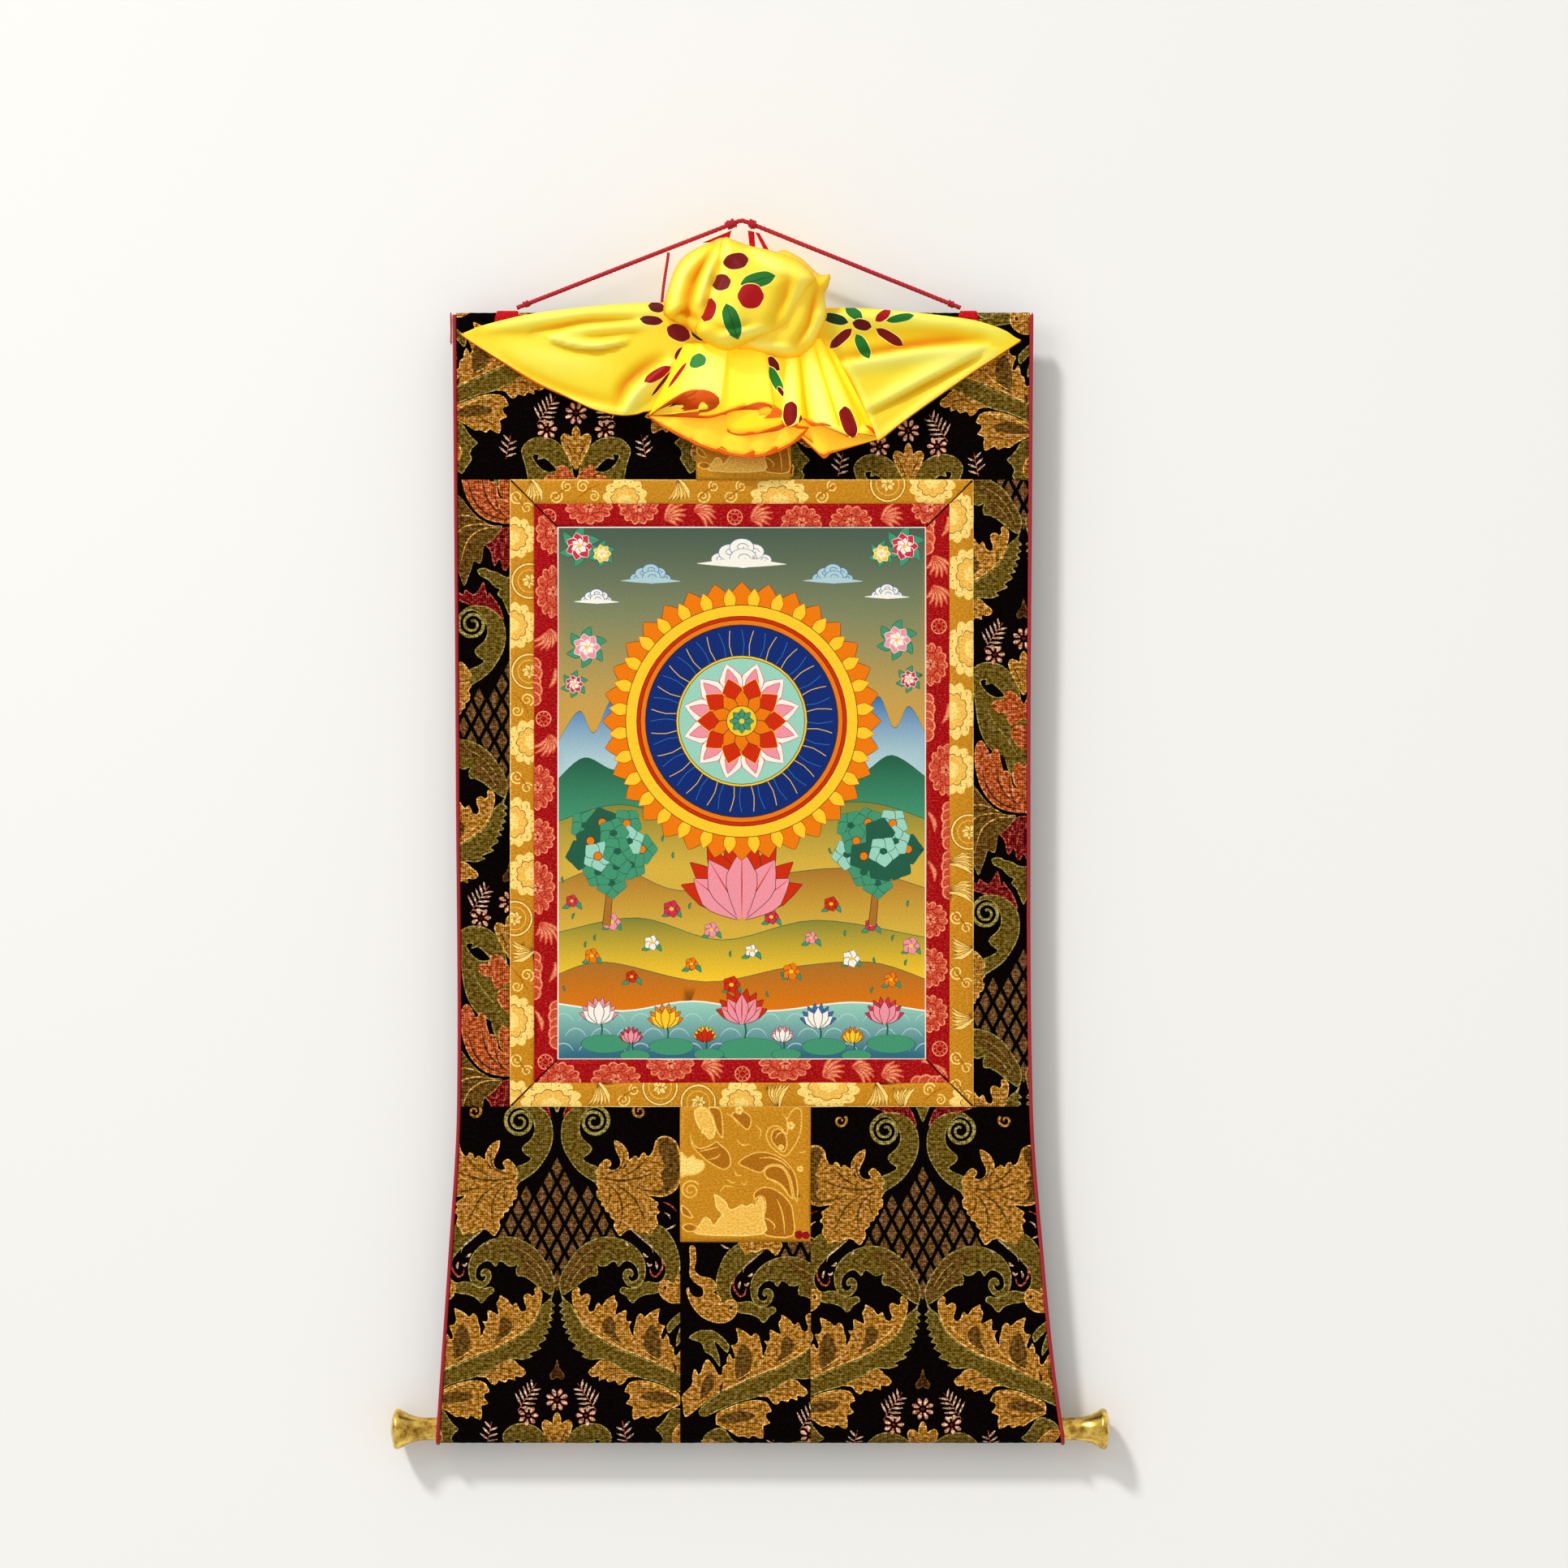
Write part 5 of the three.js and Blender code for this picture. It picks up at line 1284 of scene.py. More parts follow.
def picture():
    """Everything painted on the sky's wash: x from the middle, y up from the top edge."""
    rng = random.Random(5)
    parts = []
    for points, upper, lower in [
        ([(-150, -176), (-132, -150), (-120, -168), (-104, -140), (-88, -176), (-60, -196), (-30, -205)],
         AZURE, MIST),
        ([(150, -170), (136, -146), (124, -164), (110, -138), (92, -178), (62, -198), (30, -205)], AZURE,
         MIST),
        ([(-150, -206), (-128, -188), (-104, -198), (-84, -192), (-40, -224), (0, -232)], PINE, JADE),
        ([(150, -204), (122, -186), (98, -200), (76, -194), (40, -224), (0, -232)], PINE, JADE),
        ([(-150, -240), (-100, -226), (-40, -238), (30, -230), (100, -224), (150, -238)], OLIVE_GREEN,
         MEADOW),
        ([(-150, -290), (-104, -276), (-50, -296), (20, -284), (90, -278), (150, -294)], EARTH, MEADOW),
        ([(-150, -330), (-84, -318), (-16, -336), (60, -320), (150, -334)], OLIVE_GREEN, SAFFRON),
        ([(-150, -364), (-110, -354), (-30, -370), (40, -358), (104, -354), (150, -368)], EARTH, ORANGE),
    ]:
        parts += hill(points, upper, lower, PINE)
    for k in range(30):
        x, y = rng.uniform(-146, 146), rng.uniform(-384, -244)
        parts += lobe((x, y), (x + rng.uniform(-2, 2), y + 5), 1.6, JADE, PINE, vein=None, edge=FINE)
    for k in range(18):
        x, y = -138 + 16.2 * k, -304 - 72 * (k * 0.618 % 1)
        parts += lobe((x, y), (x + 8, y - 7), 4, JADE, PINE, vein=None, edge=FINE)
        parts += lobe((x, y), (x - 8, y - 6), 4, JADE, PINE, vein=None, edge=FINE)
        parts += blossom(x, y, 5.4 + k % 3, 5, [PEONY, ORANGE, PINK, VERMILION, WHITE][k % 5], INK, SAFFRON,
                         edge=FINE)
    shore = rounded([(-150, -388), (-96, -394), (-40, -386), (20, -394), (90, -387),
                                        (150, -394)], 6)
    parts += [(WHITE, [(x, y + 1.2) for x, y in shore] + [(150, -433), (-150, -433)]),
              (wash(MINT, DEEP_WATER, -386, -428), shore + [(150, -433), (-150, -433)])]
    for row in range(3):
        for column in range(15):
            x, y = -145 + 21 * column + 10 * (row % 2), -402 - 12 * row
            parts.append((MIST, stroke([(x - 8.5, y, 0.3), (x - 5, y + 4.7, 0.8), (x, y + 6.4, 0.9),
                                        (x + 5, y + 4.7, 0.8),
                                        (x + 8.5, y, 0.3)], steps=2)))
    for x in (-108, 108):
        parts += fruit_tree(x, -262, 27, rng)
    wheel = (0, -158)
    parts += lotus(0, -300, 40, PINK, VERMILION)
    parts += ring_of_petals(*wheel, 90, 113, 32, 17, ORANGE, INK)
    parts += ring_of_petals(*wheel, 90, 108, 32, 10, SAFFRON, VERMILION, math.pi / 32)
    for radius, fill in [(94, SAFFRON), (85, VERMILION), (82, ORANGE), (78, INDIGO)]:
        parts += lined(lambda r: disc(*wheel, r, 60), radius, fill)
    for k in range(48):
        angle = 2 * math.pi * k / 48
        (x0, y0), (x1, y1) = [(wheel[0] + r * math.cos(angle), wheel[1] + r * math.sin(angle))
                              for r in (50, 74)]
        bow = Vector((y0 - y1, x1 - x0)) * 0.08 * (1 if k % 2 else -1)
        parts.append((SAFFRON if k % 2 else AZURE, stroke([(x0, y0, FINE),
                                                           ((x0 + x1) / 2 + bow.x, (y0 + y1) / 2 + bow.y,
                                                                          FINE), (x1, y1, FINE)], steps=2)))
    for radius, fill in [(53, SAFFRON), (51, MINT)]:
        parts += lined(lambda r: disc(*wheel, r), radius, fill)
    parts += ring_of_petals(*wheel, 18, 48, 12, 18, WHITE, PEONY, math.pi / 12)
    parts += ring_of_petals(*wheel, 18, 44, 12, 10, PINK, PEONY, math.pi / 12)
    parts += ring_of_petals(*wheel, 10, 36, 10, 17, VERMILION, SAFFRON)
    parts += ring_of_petals(*wheel, 6, 25, 10, 11, ORANGE, INK, math.pi / 10)
    parts += lined(lambda r: disc(*wheel, r), 12, SAFFRON)
    parts += ring_of_petals(*wheel, 2, 10, 8, 5, JADE, PINE)
    for x, y, size in [(-126, -98, 9), (126, -92, 9), (-136, -128, 6), (136, -124, 6)]:
        parts += peony(x, y, size, PINK if size > 8 else PEONY)
    for x, y, size, tint in [(0, -24, 12, WHITE), (-74, -40, 8, MIST), (74, -40, 8, MIST),
                             (-118, -58, 6, WHITE),
                             (118, -54, 6, WHITE)]:
        parts += cloud(x, y, size, tint)
    for x in (-132, 132):
        parts += peony(x, -16, 9, PEONY)
        parts += peony(x * 0.86, -22, 6, SAFFRON)
    for x, y, size, fill, heart in [
        (-116, -398, 13, WHITE, PINK), (116, -398, 13, PINK, PEONY), (-62, -402, 12, SAFFRON, ORANGE),
        (62, -402, 12, WHITE, AZURE), (0, -396, 17, PINK, VERMILION), (-30, -415, 8, VERMILION, SAFFRON),
        (33, -415, 8, WHITE, PINK), (-90, -416, 8, PINK, PEONY), (90, -416, 8, SAFFRON, ORANGE),
    ]:
        parts.append((PINE, stroke([(x, y - 1.6 * size, 1.2), (x + 0.2 * size, y - 0.8 * size, 1.4),
                                    (x, y, 1.2)])))
        parts += lined(lambda r: disc(x + 0.4 * size, y - 1.7 * size, r, 30, 0.38), 1.5 * size, JADE, PINE)
        parts += lotus(x, y, size, fill, heart)
    return [(colour, [(x, CANVAS_TOP + y) for x, y in polygon]) for colour, polygon in parts]


margin = [(WHITE, rim) for rim in (
    [(-150, -249), (-148.8, -249), (-148.8, -682), (-150, -682)],
    [(150, -249), (148.8, -249), (148.8, -682), (150, -682)],
    [(-150, -249), (150, -249), (150, -250), (-150, -250)],
    [(-150, -682), (150, -682), (150, -681), (-150, -681)])]
canvas_face = woven_material("painted canvas", 0.0008, 0.78, 0.08, 0.25, 0.22)
canvas_back = reverse_material("canvas reverse", dye(226, 214, 190), dye(190, 172, 142), 0.0009)
canvas_outline = [(-CANVAS_HALF, CANVAS_TOP), (-CANVAS_HALF, CANVAS_BOTTOM), (CANVAS_HALF, CANVAS_BOTTOM),
                  (CANVAS_HALF, CANVAS_TOP)]
painting = woven_sheet("painting_canvas", canvas_outline, picture() + margin, sky_colour,
                       lambda x, z: hang(x, z, -0.2), (12, 12), CANVAS_THICKNESS, (canvas_face, canvas_back))
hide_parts("painting")

# Binding
# Crimson piping sewn along both side edges of the mount, down the front and round the mouth of the
# roller's sleeve.
PIPING_DIAMETER = 3.0
piping_silk = cord_material("crimson piping", dye(176, 8, 30), dye(112, 2, 14))
PIPING_FORWARD = 1.0
PIPING_ASIDE = 0.3 + PIPING_DIAMETER / 2
for side, edge, outward in (("left", left_edge, -1), ("right", right_edge, 1)):
    line = []
    steps = 230
    for k in range(steps + 1):
        z = HEAD - 2 + (ROLLER_Z - HEAD + 2) * k / steps
        x = edge(z) + outward * (PIPING_ASIDE - 0.4)
        line.append(Vector((x, CLOTH_Y - PIPING_FORWARD + drape(edge(z), z), z)) * MM)
    for y, z in arc(ROLLER_Y, ROLLER_Z, sleeve_radius + PIPING_FORWARD, 183, 330, 36):
        line.append(Vector((edge(z) + outward * (PIPING_ASIDE - 0.4), y, z)) * MM)
    piping = rope(f"binding_{side}_piping", line, PIPING_DIAMETER / 2 * MM, strands=0, sides=12)
    fitted(piping, f"binding_{side}", piping_silk)

# Stave
# A flat planed batten of pale wood in the head hem. Its ends stand a few millimetres out of the cloth, each
# with a turn of red thread that keeps the hem from slipping.
low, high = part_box("stave")


def block(name, low, high, bevel):
    """A block between two corners with rounded edges."""
    shape = bmesh.new()
    bmesh.ops.create_cube(shape, size=1.0)
    bmesh.ops.scale(shape, vec=high - low, verts=shape.verts)
    bmesh.ops.translate(shape, vec=(low + high) / 2, verts=shape.verts)
    bmesh.ops.bevel(shape, geom=shape.edges[:], offset=bevel, segments=3, profile=0.5, affect="EDGES",
                    material=-1)
    mesh = bpy.data.meshes.new(name)
    shape.to_mesh(mesh)
    shape.free()
    piece = bpy.data.objects.new(name, mesh)
    scene.collection.objects.link(piece)
    return piece


def wood_material(name, light, dark, stretch):
    """Planed wood with its grain along X."""
    material, tree, principled = finish_material(name, Roughness=0.6)
    place = wired(tree, "TexCoord")
    grain = wired(tree, "Mapping", Vector=place.outputs["Object"], Scale=(stretch, 260.0, 260.0))
    fibre = wired(tree, "TexNoise", Vector=grain.outputs[0], Scale=1.0, Detail=5.0, Distortion=0.6)
    mixed = wired(tree, "Mix", {"data_type": "RGBA"}, Factor=fibre.outputs["Fac"], n6=light, n7=dark)
    feed(tree, mixed.outputs["Result"], principled, "Base Color")
    raised(tree, principled, 0.25, 0.0004, fibre.outputs["Fac"])
    return material


pale_wood = wood_material("pale wood", dye(240, 232, 224), dye(206, 190, 172), 14.0)
stave = block("stave_batten", Vector(low), Vector(high), 0.6 * MM)
fitted(stave, "stave", pale_wood)
THREAD_RADIUS = 0.45
for side, x in (("left", low[0] / MM + 1.0), ("right", high[0] / MM - 0.8)):
    half_y, half_z = stave_half + THREAD_RADIUS, STAVE_HEIGHT / 2 + THREAD_RADIUS
    middle = STAVE_TOP - STAVE_HEIGHT / 2
    turn = [(x, -half_y, middle - half_z), (x + 0.2, -half_y, middle), (x, -half_y, middle + half_z),
            (x, half_y, middle + half_z), (x + 0.2, half_y, middle), (x, half_y, middle - half_z),
            (x + 0.4, -half_y, middle - half_z - 0.2)]
    whipping = rope(f"stave_thread_{side}", [Vector(p) * MM for p in rounded(turn, 6)], THREAD_RADIUS * MM,
                    pitch=0.003, sides=8)
    whipping.data.materials.append(crimson_cord)
    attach(whipping, "root")

# Roller
# A wooden dowel in the foot hem. Only its caps show, so the dowel of the frame stays, with its own wood.
dowel_wood = wood_material("dowel wood", dye(196, 152, 104), dye(140, 98, 60), 20.0)
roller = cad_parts["roller"]
roller.data.materials.clear()
roller.data.materials.append(dowel_wood)

# Roller caps
# Trumpet-shaped ferrules of polished brass pushed over the ends of the roller, with a rolled rim.
CAP_PROFILE = [
    # distance along the axis, radius
    (0, 9.2), (0.4, 9.4), (6, 9.2), (12, 9.1), (17, 9.4), (22, 10.2), (27, 11.8), (31, 13.9), (33.5, 15.4),
    (34.6, 16.2), (35.8, 16.5), (37.4, 16.4), (38.6, 15.8), (39.2, 14.8), (39.3, 13.4), (39.9, 12.2),
    (40.8, 9.0), (41.6, 5.0), (42, 0),
]


def brass_material():
    """Polished brass with faint turning lines, darker and rougher in random mottled patches."""
    material, tree, principled = finish_material("polished brass", Metallic=1.0)
    place = wired(tree, "TexCoord")
    lines = wired(tree, "Mapping", Vector=place.outputs["Object"], Scale=(2600.0, 40.0, 40.0))
    turning = wired(tree, "TexNoise", Vector=lines.outputs[0], Scale=1.0, Detail=2.0)
    mottle_noise = wired(tree, "TexNoise", Vector=place.outputs["Object"], Scale=130.0, Detail=5.0, Roughness=0.65)
    # darker mottled patches at random, from a noise
    dark_mottle = wired(tree, "MapRange", Value=mottle_noise.outputs["Fac"], From_Min=0.4, From_Max=0.66)
    colour = wired(tree, "Mix", {"data_type": "RGBA"}, Factor=dark_mottle.outputs[0],
                   n6=dye(252, 214, 104), n7=dye(150, 98, 22))
    rough = wired(tree, "MapRange", Value=mottle_noise.outputs["Fac"], To_Min=0.12, To_Max=0.3)
    feed(tree, colour.outputs["Result"], principled, "Base Color")
    feed(tree, rough.outputs[0], principled, "Roughness")
    raised(tree, principled, 0.08, 0.0003, turning.outputs["Fac"])
    return material


brass = brass_material()
for side, outward in (("left", -1), ("right", 1)):
    low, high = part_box(f"roller_cap_{side}")
    start = high[0] if outward < 0 else low[0]
    axis = Vector((start, ROLLER_Y * MM, ROLLER_Z * MM))
    shape = bmesh.new()
    line = [shape.verts.new(axis + Vector((outward * s, 0, r)) * MM) for s, r in CAP_PROFILE]
    edges = [shape.edges.new(pair) for pair in zip(line, line[1:])]
    bmesh.ops.spin(shape, geom=line + edges, cent=axis, axis=(1, 0, 0), angle=2 * math.pi, steps=72,
                   use_merge=True)
    bmesh.ops.remove_doubles(shape, verts=shape.verts, dist=1e-6)
    bmesh.ops.holes_fill(shape, edges=shape.edges, sides=80)
    bmesh.ops.recalc_face_normals(shape, faces=shape.faces)
    mesh = bpy.data.meshes.new(f"roller_cap_{side}_brass")
    shape.to_mesh(mesh)
    shape.free()
    mesh.polygons.foreach_set("use_smooth", [True] * len(mesh.polygons))
    cap = bpy.data.objects.new(mesh.name, mesh)
    scene.collection.objects.link(cap)
    fitted(cap, f"roller_cap_{side}", brass)

# Cord tabs
# Short lengths of red tape folded over the head of the mount and stitched down, which the cord is tied to.
TAPE = dye(190, 10, 24)
tab_offset = SLEEVE + BROCADE / 2 + 0.3 + 0.6
TAB_FOOT = STAVE_TOP - 14
tab_fold = ([(-stave_half - tab_offset, TAB_FOOT)] + arc(-stave_half, STAVE_TOP, tab_offset, 180, 90, 6)
            + arc(stave_half, STAVE_TOP, tab_offset, 90, 0, 6) + [(stave_half + tab_offset, TAB_FOOT)])
tape_face = woven_material("red tape face", 0.001, 0.6, 0.08, 0.5, 0.6)
tape_back = reverse_material("red tape reverse", dye(170, 30, 36), dye(110, 6, 14), 0.001)
for node, left, right in (("cord_tab_left", -201, -181), ("cord_tab_right", 175, 192)):
    reach = hem_length(tab_fold)
    stitches = []
    for k in range(6):
        x = left + (right - left) * (k + 0.3) / 6
        stitches.append((SCARLET, stroke([(x, 2.4, 0.7), (x + 1.7, 2.4, 0.7)])))
        stitches.append((SCARLET, stroke([(x, 11, 0.7), (x + 1.7, 11, 0.7)])))

    def on_tab(x, s):
        y, z = along(tab_fold, s)
        return Vector((x, y, z)) * MM

    corners = [(left, 0), (right, 0), (right, reach), (left, reach)]
    tab = woven_sheet(f"{node}_tape", corners, stitches, TAPE, on_tab, (2.5, 1.5), 1.2,
                      (tape_face, tape_back))
    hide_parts(node)

# Ribbons at the nail
# Narrow red ribbon tied in with the cord: two cut tails, and the folded tie that carries the veil.
RIBBON_Y = -3.4
RIBBONS = [
    # node, two upper corners, two lower corners
    ("ribbon_tail_a", (5, -8.4), (10, -9.4), (6.5, -22.4), (11, -22.4)),
    ("ribbon_tail_b", (11, -9.6), (14.4, -10.8), (18.8, -25.6), (22.4, -25)),
    ("veil_tie", (-16, -11.6), (-8.4, -8.4), (-32, -18.4), (-10.4, -16)),
]
for node, upper_left, upper_right, lower_left, lower_right in RIBBONS:
    def on_ribbon(x, z):
        return Vector((x, RIBBON_Y + 0.5 * math.sin(0.5 * x + 0.3 * z), z)) * MM

    corners = [upper_left, lower_left, lower_right, upper_right]
    ribbon = woven_sheet(f"{node}_ribbon", corners, [], TAPE, on_ribbon, (1, 1), 0.9, (tape_face, tape_back))
    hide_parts(node)
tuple(cord_line[0])
path_length(cord_line)

# Veil
# A square of thin yellow silk printed with berries and leaves. It is gathered up at the nail: its middle is
# puffed into a rosette, two corners are drawn out to the stave's ends and the rest falls in a ruffled skirt.
HEM, HALO = dye(216, 92, 12), dye(255, 236, 120)
BERRY, CHERRY, GARNET = dye(116, 0, 4), dye(164, 0, 8), dye(92, 0, 8)
LEAF, DARK_LEAF = dye(26, 112, 36), dye(16, 54, 24)
# painted shade and highlight: the silk's colours from deep in a hollow to pale on a ridge
PAINTED_FOLD_SHADES = [(232, 150, 6), (246, 196, 22), (252, 216, 44), (255, 234, 88), (255, 242, 118)]  # hollow to ridge
VEIL_THICKNESS = 1.2
MOUNT_FRONT = CLOTH_Y - BROCADE / 2


def sighted(x, z, lift):
    """A point charted where it shows in the picture, moved along the line of sight to its distance
    in front of the mount."""
    y = (MOUNT_FRONT - lift) * MM
    near = 1 + y / CAMERA_DISTANCE
    return Vector((middle_x + (x * MM - middle_x) * near, y, middle_z + (z * MM - middle_z) * near))


def fold(x, z, line, height, above, below):
    """How far a fold along a line lifts the cloth, falling off over a width above and below it."""
    best = None
    for k, ((x0, z0), (x1, z1)) in enumerate(zip(line, line[1:])):
        dx, dz = x1 - x0, z1 - z0
        t = min(max(((x - x0) * dx + (z - z0) * dz) / (dx * dx + dz * dz), 0), 1)
        away = math.hypot(x - x0 - t * dx, z - z0 - t * dz)
        if best is None or away < best[0]:
            best = (away, (k + t) / (len(line) - 1), dx * (z - z0) - dz * (x - x0))
    away, place, side = best
    reach = above if side > 0 else below
    return height * math.exp(-(away / reach) ** 2) * math.sin(math.pi * (0.08 + 0.84 * place)) ** 0.6


def silk(rise):
    """The silk's colour with painted fold shade: darker where a fold sinks by millimetres, paler where it
    lifts.
    """
    level = min(max(2 + rise / 2.5, 0), 3.999)
    t = level % 1
    return dye(*[a + t * (b - a) for a, b in zip(PAINTED_FOLD_SHADES[int(level)], PAINTED_FOLD_SHADES[int(level) + 1])])


def printed(rows, flip=1):
    """The print's berries, beans and leaves, each with a pale edge."""
    parts = []
    for x, z, length, width, lean, colour in rows:
        ahead = Vector((math.cos(math.radians(lean)), flip * math.sin(math.radians(lean)))) * length / 2
        ends = [(x - ahead.x, z - ahead.y), (x + ahead.x, z + ahead.y)]
        round_ends = 0.55 if width > 0.6 * length else 0.12

        def blade(extra):
            near = 0.82 if width > 0.6 * length else 0.8
            return stroke([(*ends[0], width * round_ends * 0.3 + extra),
                           (x - ahead.x * 0.62, z - ahead.y * 0.62,
                          width * near + extra), (x, z, width + extra),
                          (x + ahead.x * 0.62, z + ahead.y * 0.62,
                          width * near + extra), (*ends[1], width * round_ends * 0.3 + extra)])

        parts += [(HALO, blade(1.4)), (colour, blade(0))]
        if colour == LEAF and length > 25:
            parts.append((DARK_LEAF, stroke([(*ends[0], 0.2), (x, z, 0.7), (*ends[1], 0.2)])))
    return parts


def veil_material(name, glow):
    """Thin satin coloured from the thread attribute, with painted orange shade in hollows and a painted glow.
    """
    material, tree, principled = finish_material(name, Roughness=0.5, Specular_IOR_Level=0.2,
                                                 Subsurface_Weight=0.35,
                                                 Subsurface_Scale=0.004)
    principled.inputs["Subsurface Radius"].default_value = (1.0, 0.5, 0.15)
    # painted light: the silk glows with its own colour, as if lit through from behind
    principled.inputs["Emission Strength"].default_value = glow
    colour = wired(tree, "VertexColor", {"layer_name": "thread"})
    # painted shade: ambient occlusion mixes an orange-darkened copy of the colour into the hollows between
    # folds
    hollow = wired(tree, "AmbientOcclusion", {"samples": 8}, Distance=0.022)
    hollow_shade_tint = wired(tree, "VectorMath", {"operation": "MULTIPLY"}, n0=colour.outputs["Color"],
                 n1=(1.0, 0.8, 0.4))
    mixed = wired(tree, "Mix", {"data_type": "RGBA"}, Factor=hollow.outputs["AO"], n6=hollow_shade_tint.outputs[0],
                  n7=colour.outputs["Color"])
    feed(tree, mixed.outputs["Result"], principled, "Base Color")
    feed(tree, colour.outputs["Color"], principled, "Emission Color")
    cut = wired(tree, "UVMap", {"uv_map": "cut"})
    weave = wired(tree, "Group", {"node_tree": woven_threads}, Cut=cut.outputs[0], Thread=0.0007)
    raised(tree, principled, 0.12, 0.0003, weave.outputs["Height"])
    return material


# painted light: the reverse glows strongly and the face faintly with the silk's colour
veil_face = veil_material("veil silk face", 0.04)
veil_back = veil_material("veil silk reverse", 0.5)
LEFT_WING = [
    (-228.5, -92.8), (-223, -90), (-212.5, -85.8), (-197.3, -81.8), (-174.2, -76.6), (-151.8, -73.3),
    (-128, -70.6), (-107.6, -68.6), (-85.1, -67.3), (-66, -66.7), (-45.5, -68.6), (-24, -81), (-14, -94),
    (-18, -106), (-34, -113), (-46, -118), (-52, -128), (-60, -140), (-67, -149.5), (-73, -154.5),
    (-79.9, -155.8), (-85.8, -157.7), (-96.4, -158.4), (-107.6, -157.1), (-121.4, -153.1), (-132, -148.5),
    (-147.8, -141.2), (-165, -133.3), (-180.8, -124.1), (-197.3, -113.5), (-213.8, -103), (-223.5, -96.6),
]
LEFT_FOLDS = [
    # line, height, width above, width below
    ([(-207, -87), (-181, -82), (-141, -76.5), (-102, -73.5), (-65, -73)], 4.5, 4, 6),
    ([(-170, -89.5), (-144, -84.5), (-121, -80.5), (-88, -81)], -4.5, 3.5, 4),
    ([(-154, -94.5), (-137, -89), (-112.6, -86), (-88, -83.5), (-71, -82.5)], 4, 3, 6),
    ([(-126, -95), (-104, -93), (-84, -92)], -3, 4, 4),
    ([(-156, -95.5), (-140.6, -100), (-124, -102), (-111, -101.2), (-94, -97.5)], 6, 5, 1.6),
    ([(-152, -99), (-139, -103.5), (-123, -105.5), (-110, -104.5), (-96, -101)], -3, 1.6, 3.5),
    ([(-193, -112.5), (-170, -127), (-144, -138.5), (-117.5, -146.5), (-98, -150)], -2.5, 5, 2),
    ([(-200, -112.5), (-172, -131), (-145, -142.5), (-118, -151), (-95, -154.5)], 3, 2.5, 4),
    ([(-95, -152), (-84, -138), (-72, -127.5), (-58, -116)], 8, 4, 6),
    ([(-99, -147), (-95, -135), (-82, -122.5), (-66, -112.5)], -5, 6, 4),
    ([(-188, -104), (-148, -113), (-112, -118)], 2.5, 10, 14),
    ([(-215, -93), (-190, -92), (-168, -94)], -2, 4, 4),
]
LEFT_PRINT = [
    # x, z, length, width, lean in degrees, colour
    (-69.3, -70.4, 14, 8, -10, GARNET), (-73.6, -81, 19, 7.5, -6, GARNET), (-51.5, -91.1, 20, 13, -24, BERRY),
    (-35.5, -93.4, 13, 6, -32, DARK_LEAF), (-30.5, -102.6, 14, 6, -4, GARNET),
    (-49, -109.2, 14, 10, 58, BERRY),
    (-68.5, -125, 25, 7.5, 31, CHERRY), (-65.8, -132.6, 26, 2.8, 53, GARNET),
]
RIGHT_WING = [
    (227, -97.7), (222.5, -101), (218.5, -103.6), (205.3, -112.2), (188.8, -122.8), (169, -136.6),
    (149.2, -150.5), (129.4, -165), (119.5, -172.9), (111.5, -178.9), (107.6, -170.3), (103, -158.4),
    (95, -141.9), (84.5, -122.8), (73.9, -105.6), (56.8, -92.4), (56.8, -75.2), (68.6, -71.3), (96.4, -71.3),
    (122.8, -73.3), (155.8, -76.6), (188.8, -81.2), (211.9, -88.4), (222, -94.6),
]
RIGHT_FOLDS = [
    ([(67, -79), (103, -77), (143, -79), (189, -85), (212, -91)], 4, 4, 7),
    ([(80, -118), (106, -112.5), (139, -107), (172, -104), (200, -103)], 6, 2.6, 9),
    ([(82, -112), (108, -108), (140, -102.5), (172, -99), (196, -98)], -5, 6, 2.6),
    ([(103, -152.5), (123, -142.5), (147.5, -129.3), (172, -117), (190, -108)], 5, 9, 1.6),
    ([(106, -157), (126, -146), (150, -133), (174, -120.5), (191, -111)], -3, 1.6, 4),
    ([(72, -96), (104, -94), (140, -92.5), (176, -92)], -2, 5, 6),
    ([(112, -176), (140, -155), (170, -133), (204, -110)], 3, 4, 3),
    ([(100, -158), (90, -138), (80, -118)], -4, 4, 5),
    ([(110, -177), (104, -160), (96, -140), (86, -120)], 4, 4, 4),
]
RIGHT_PRINT = [
    (75.9, -79.9, 22, 8, -14, DARK_LEAF), (91.1, -75.2, 16, 8, -30, LEAF), (97.7, -84.5, 16, 9, -12, GARNET),
    (114.8, -77.2, 15, 7, 34, CHERRY), (128.7, -79.2, 23, 6, 10, LEAF), (80.5, -95.7, 24, 8, 42, BERRY),
    (98.3, -102.3, 23, 9, -62, LEAF), (120.1, -94.4, 26, 8, -32, BERRY),
]
veil_parts = []


def wing(name, outline, hem, folds, prints, tip, gather):
    """A corner of the veil drawn out flat to the side, with its folds."""
    ring = closed(outline, 5)
    lines = [(rounded(line, 4), *rest) for line, *rest in folds]

    def on_wing(x, z):
        drawn = min(max((x - tip) / (gather - tip), 0), 1)
        lift = 2.2 + 12 * drawn ** 0.8 + 0.8 * noise.noise(Vector((x / 26, z / 14, 3.0))) * drawn
        return sighted(x, z, lift + min(4 * drawn, 1) * sum(fold(x, z, *line) for line in lines))

    # painted shade and highlight: the folds darken the silk in their hollows and pale it on their ridges
    def tone(x, z):
        return silk(sum(fold(x, z, *line) for line in lines))

    rim = [(HEM, stroke([(*point, 1.4) for point in rounded(hem, 5)], steps=1))]
    piece = woven_sheet(name, ring, rim + printed(prints), tone, on_wing, (2.2, 2.2), VEIL_THICKNESS,
                        (veil_face, veil_back))
    veil_parts.append(piece)


wing("veil_wing_left", LEFT_WING, LEFT_WING[-14:] + LEFT_WING[:1], LEFT_FOLDS, LEFT_PRINT, -228, -45)
wing("veil_wing_right", RIGHT_WING, RIGHT_WING[:10], RIGHT_FOLDS, RIGHT_PRINT, 227, 70)

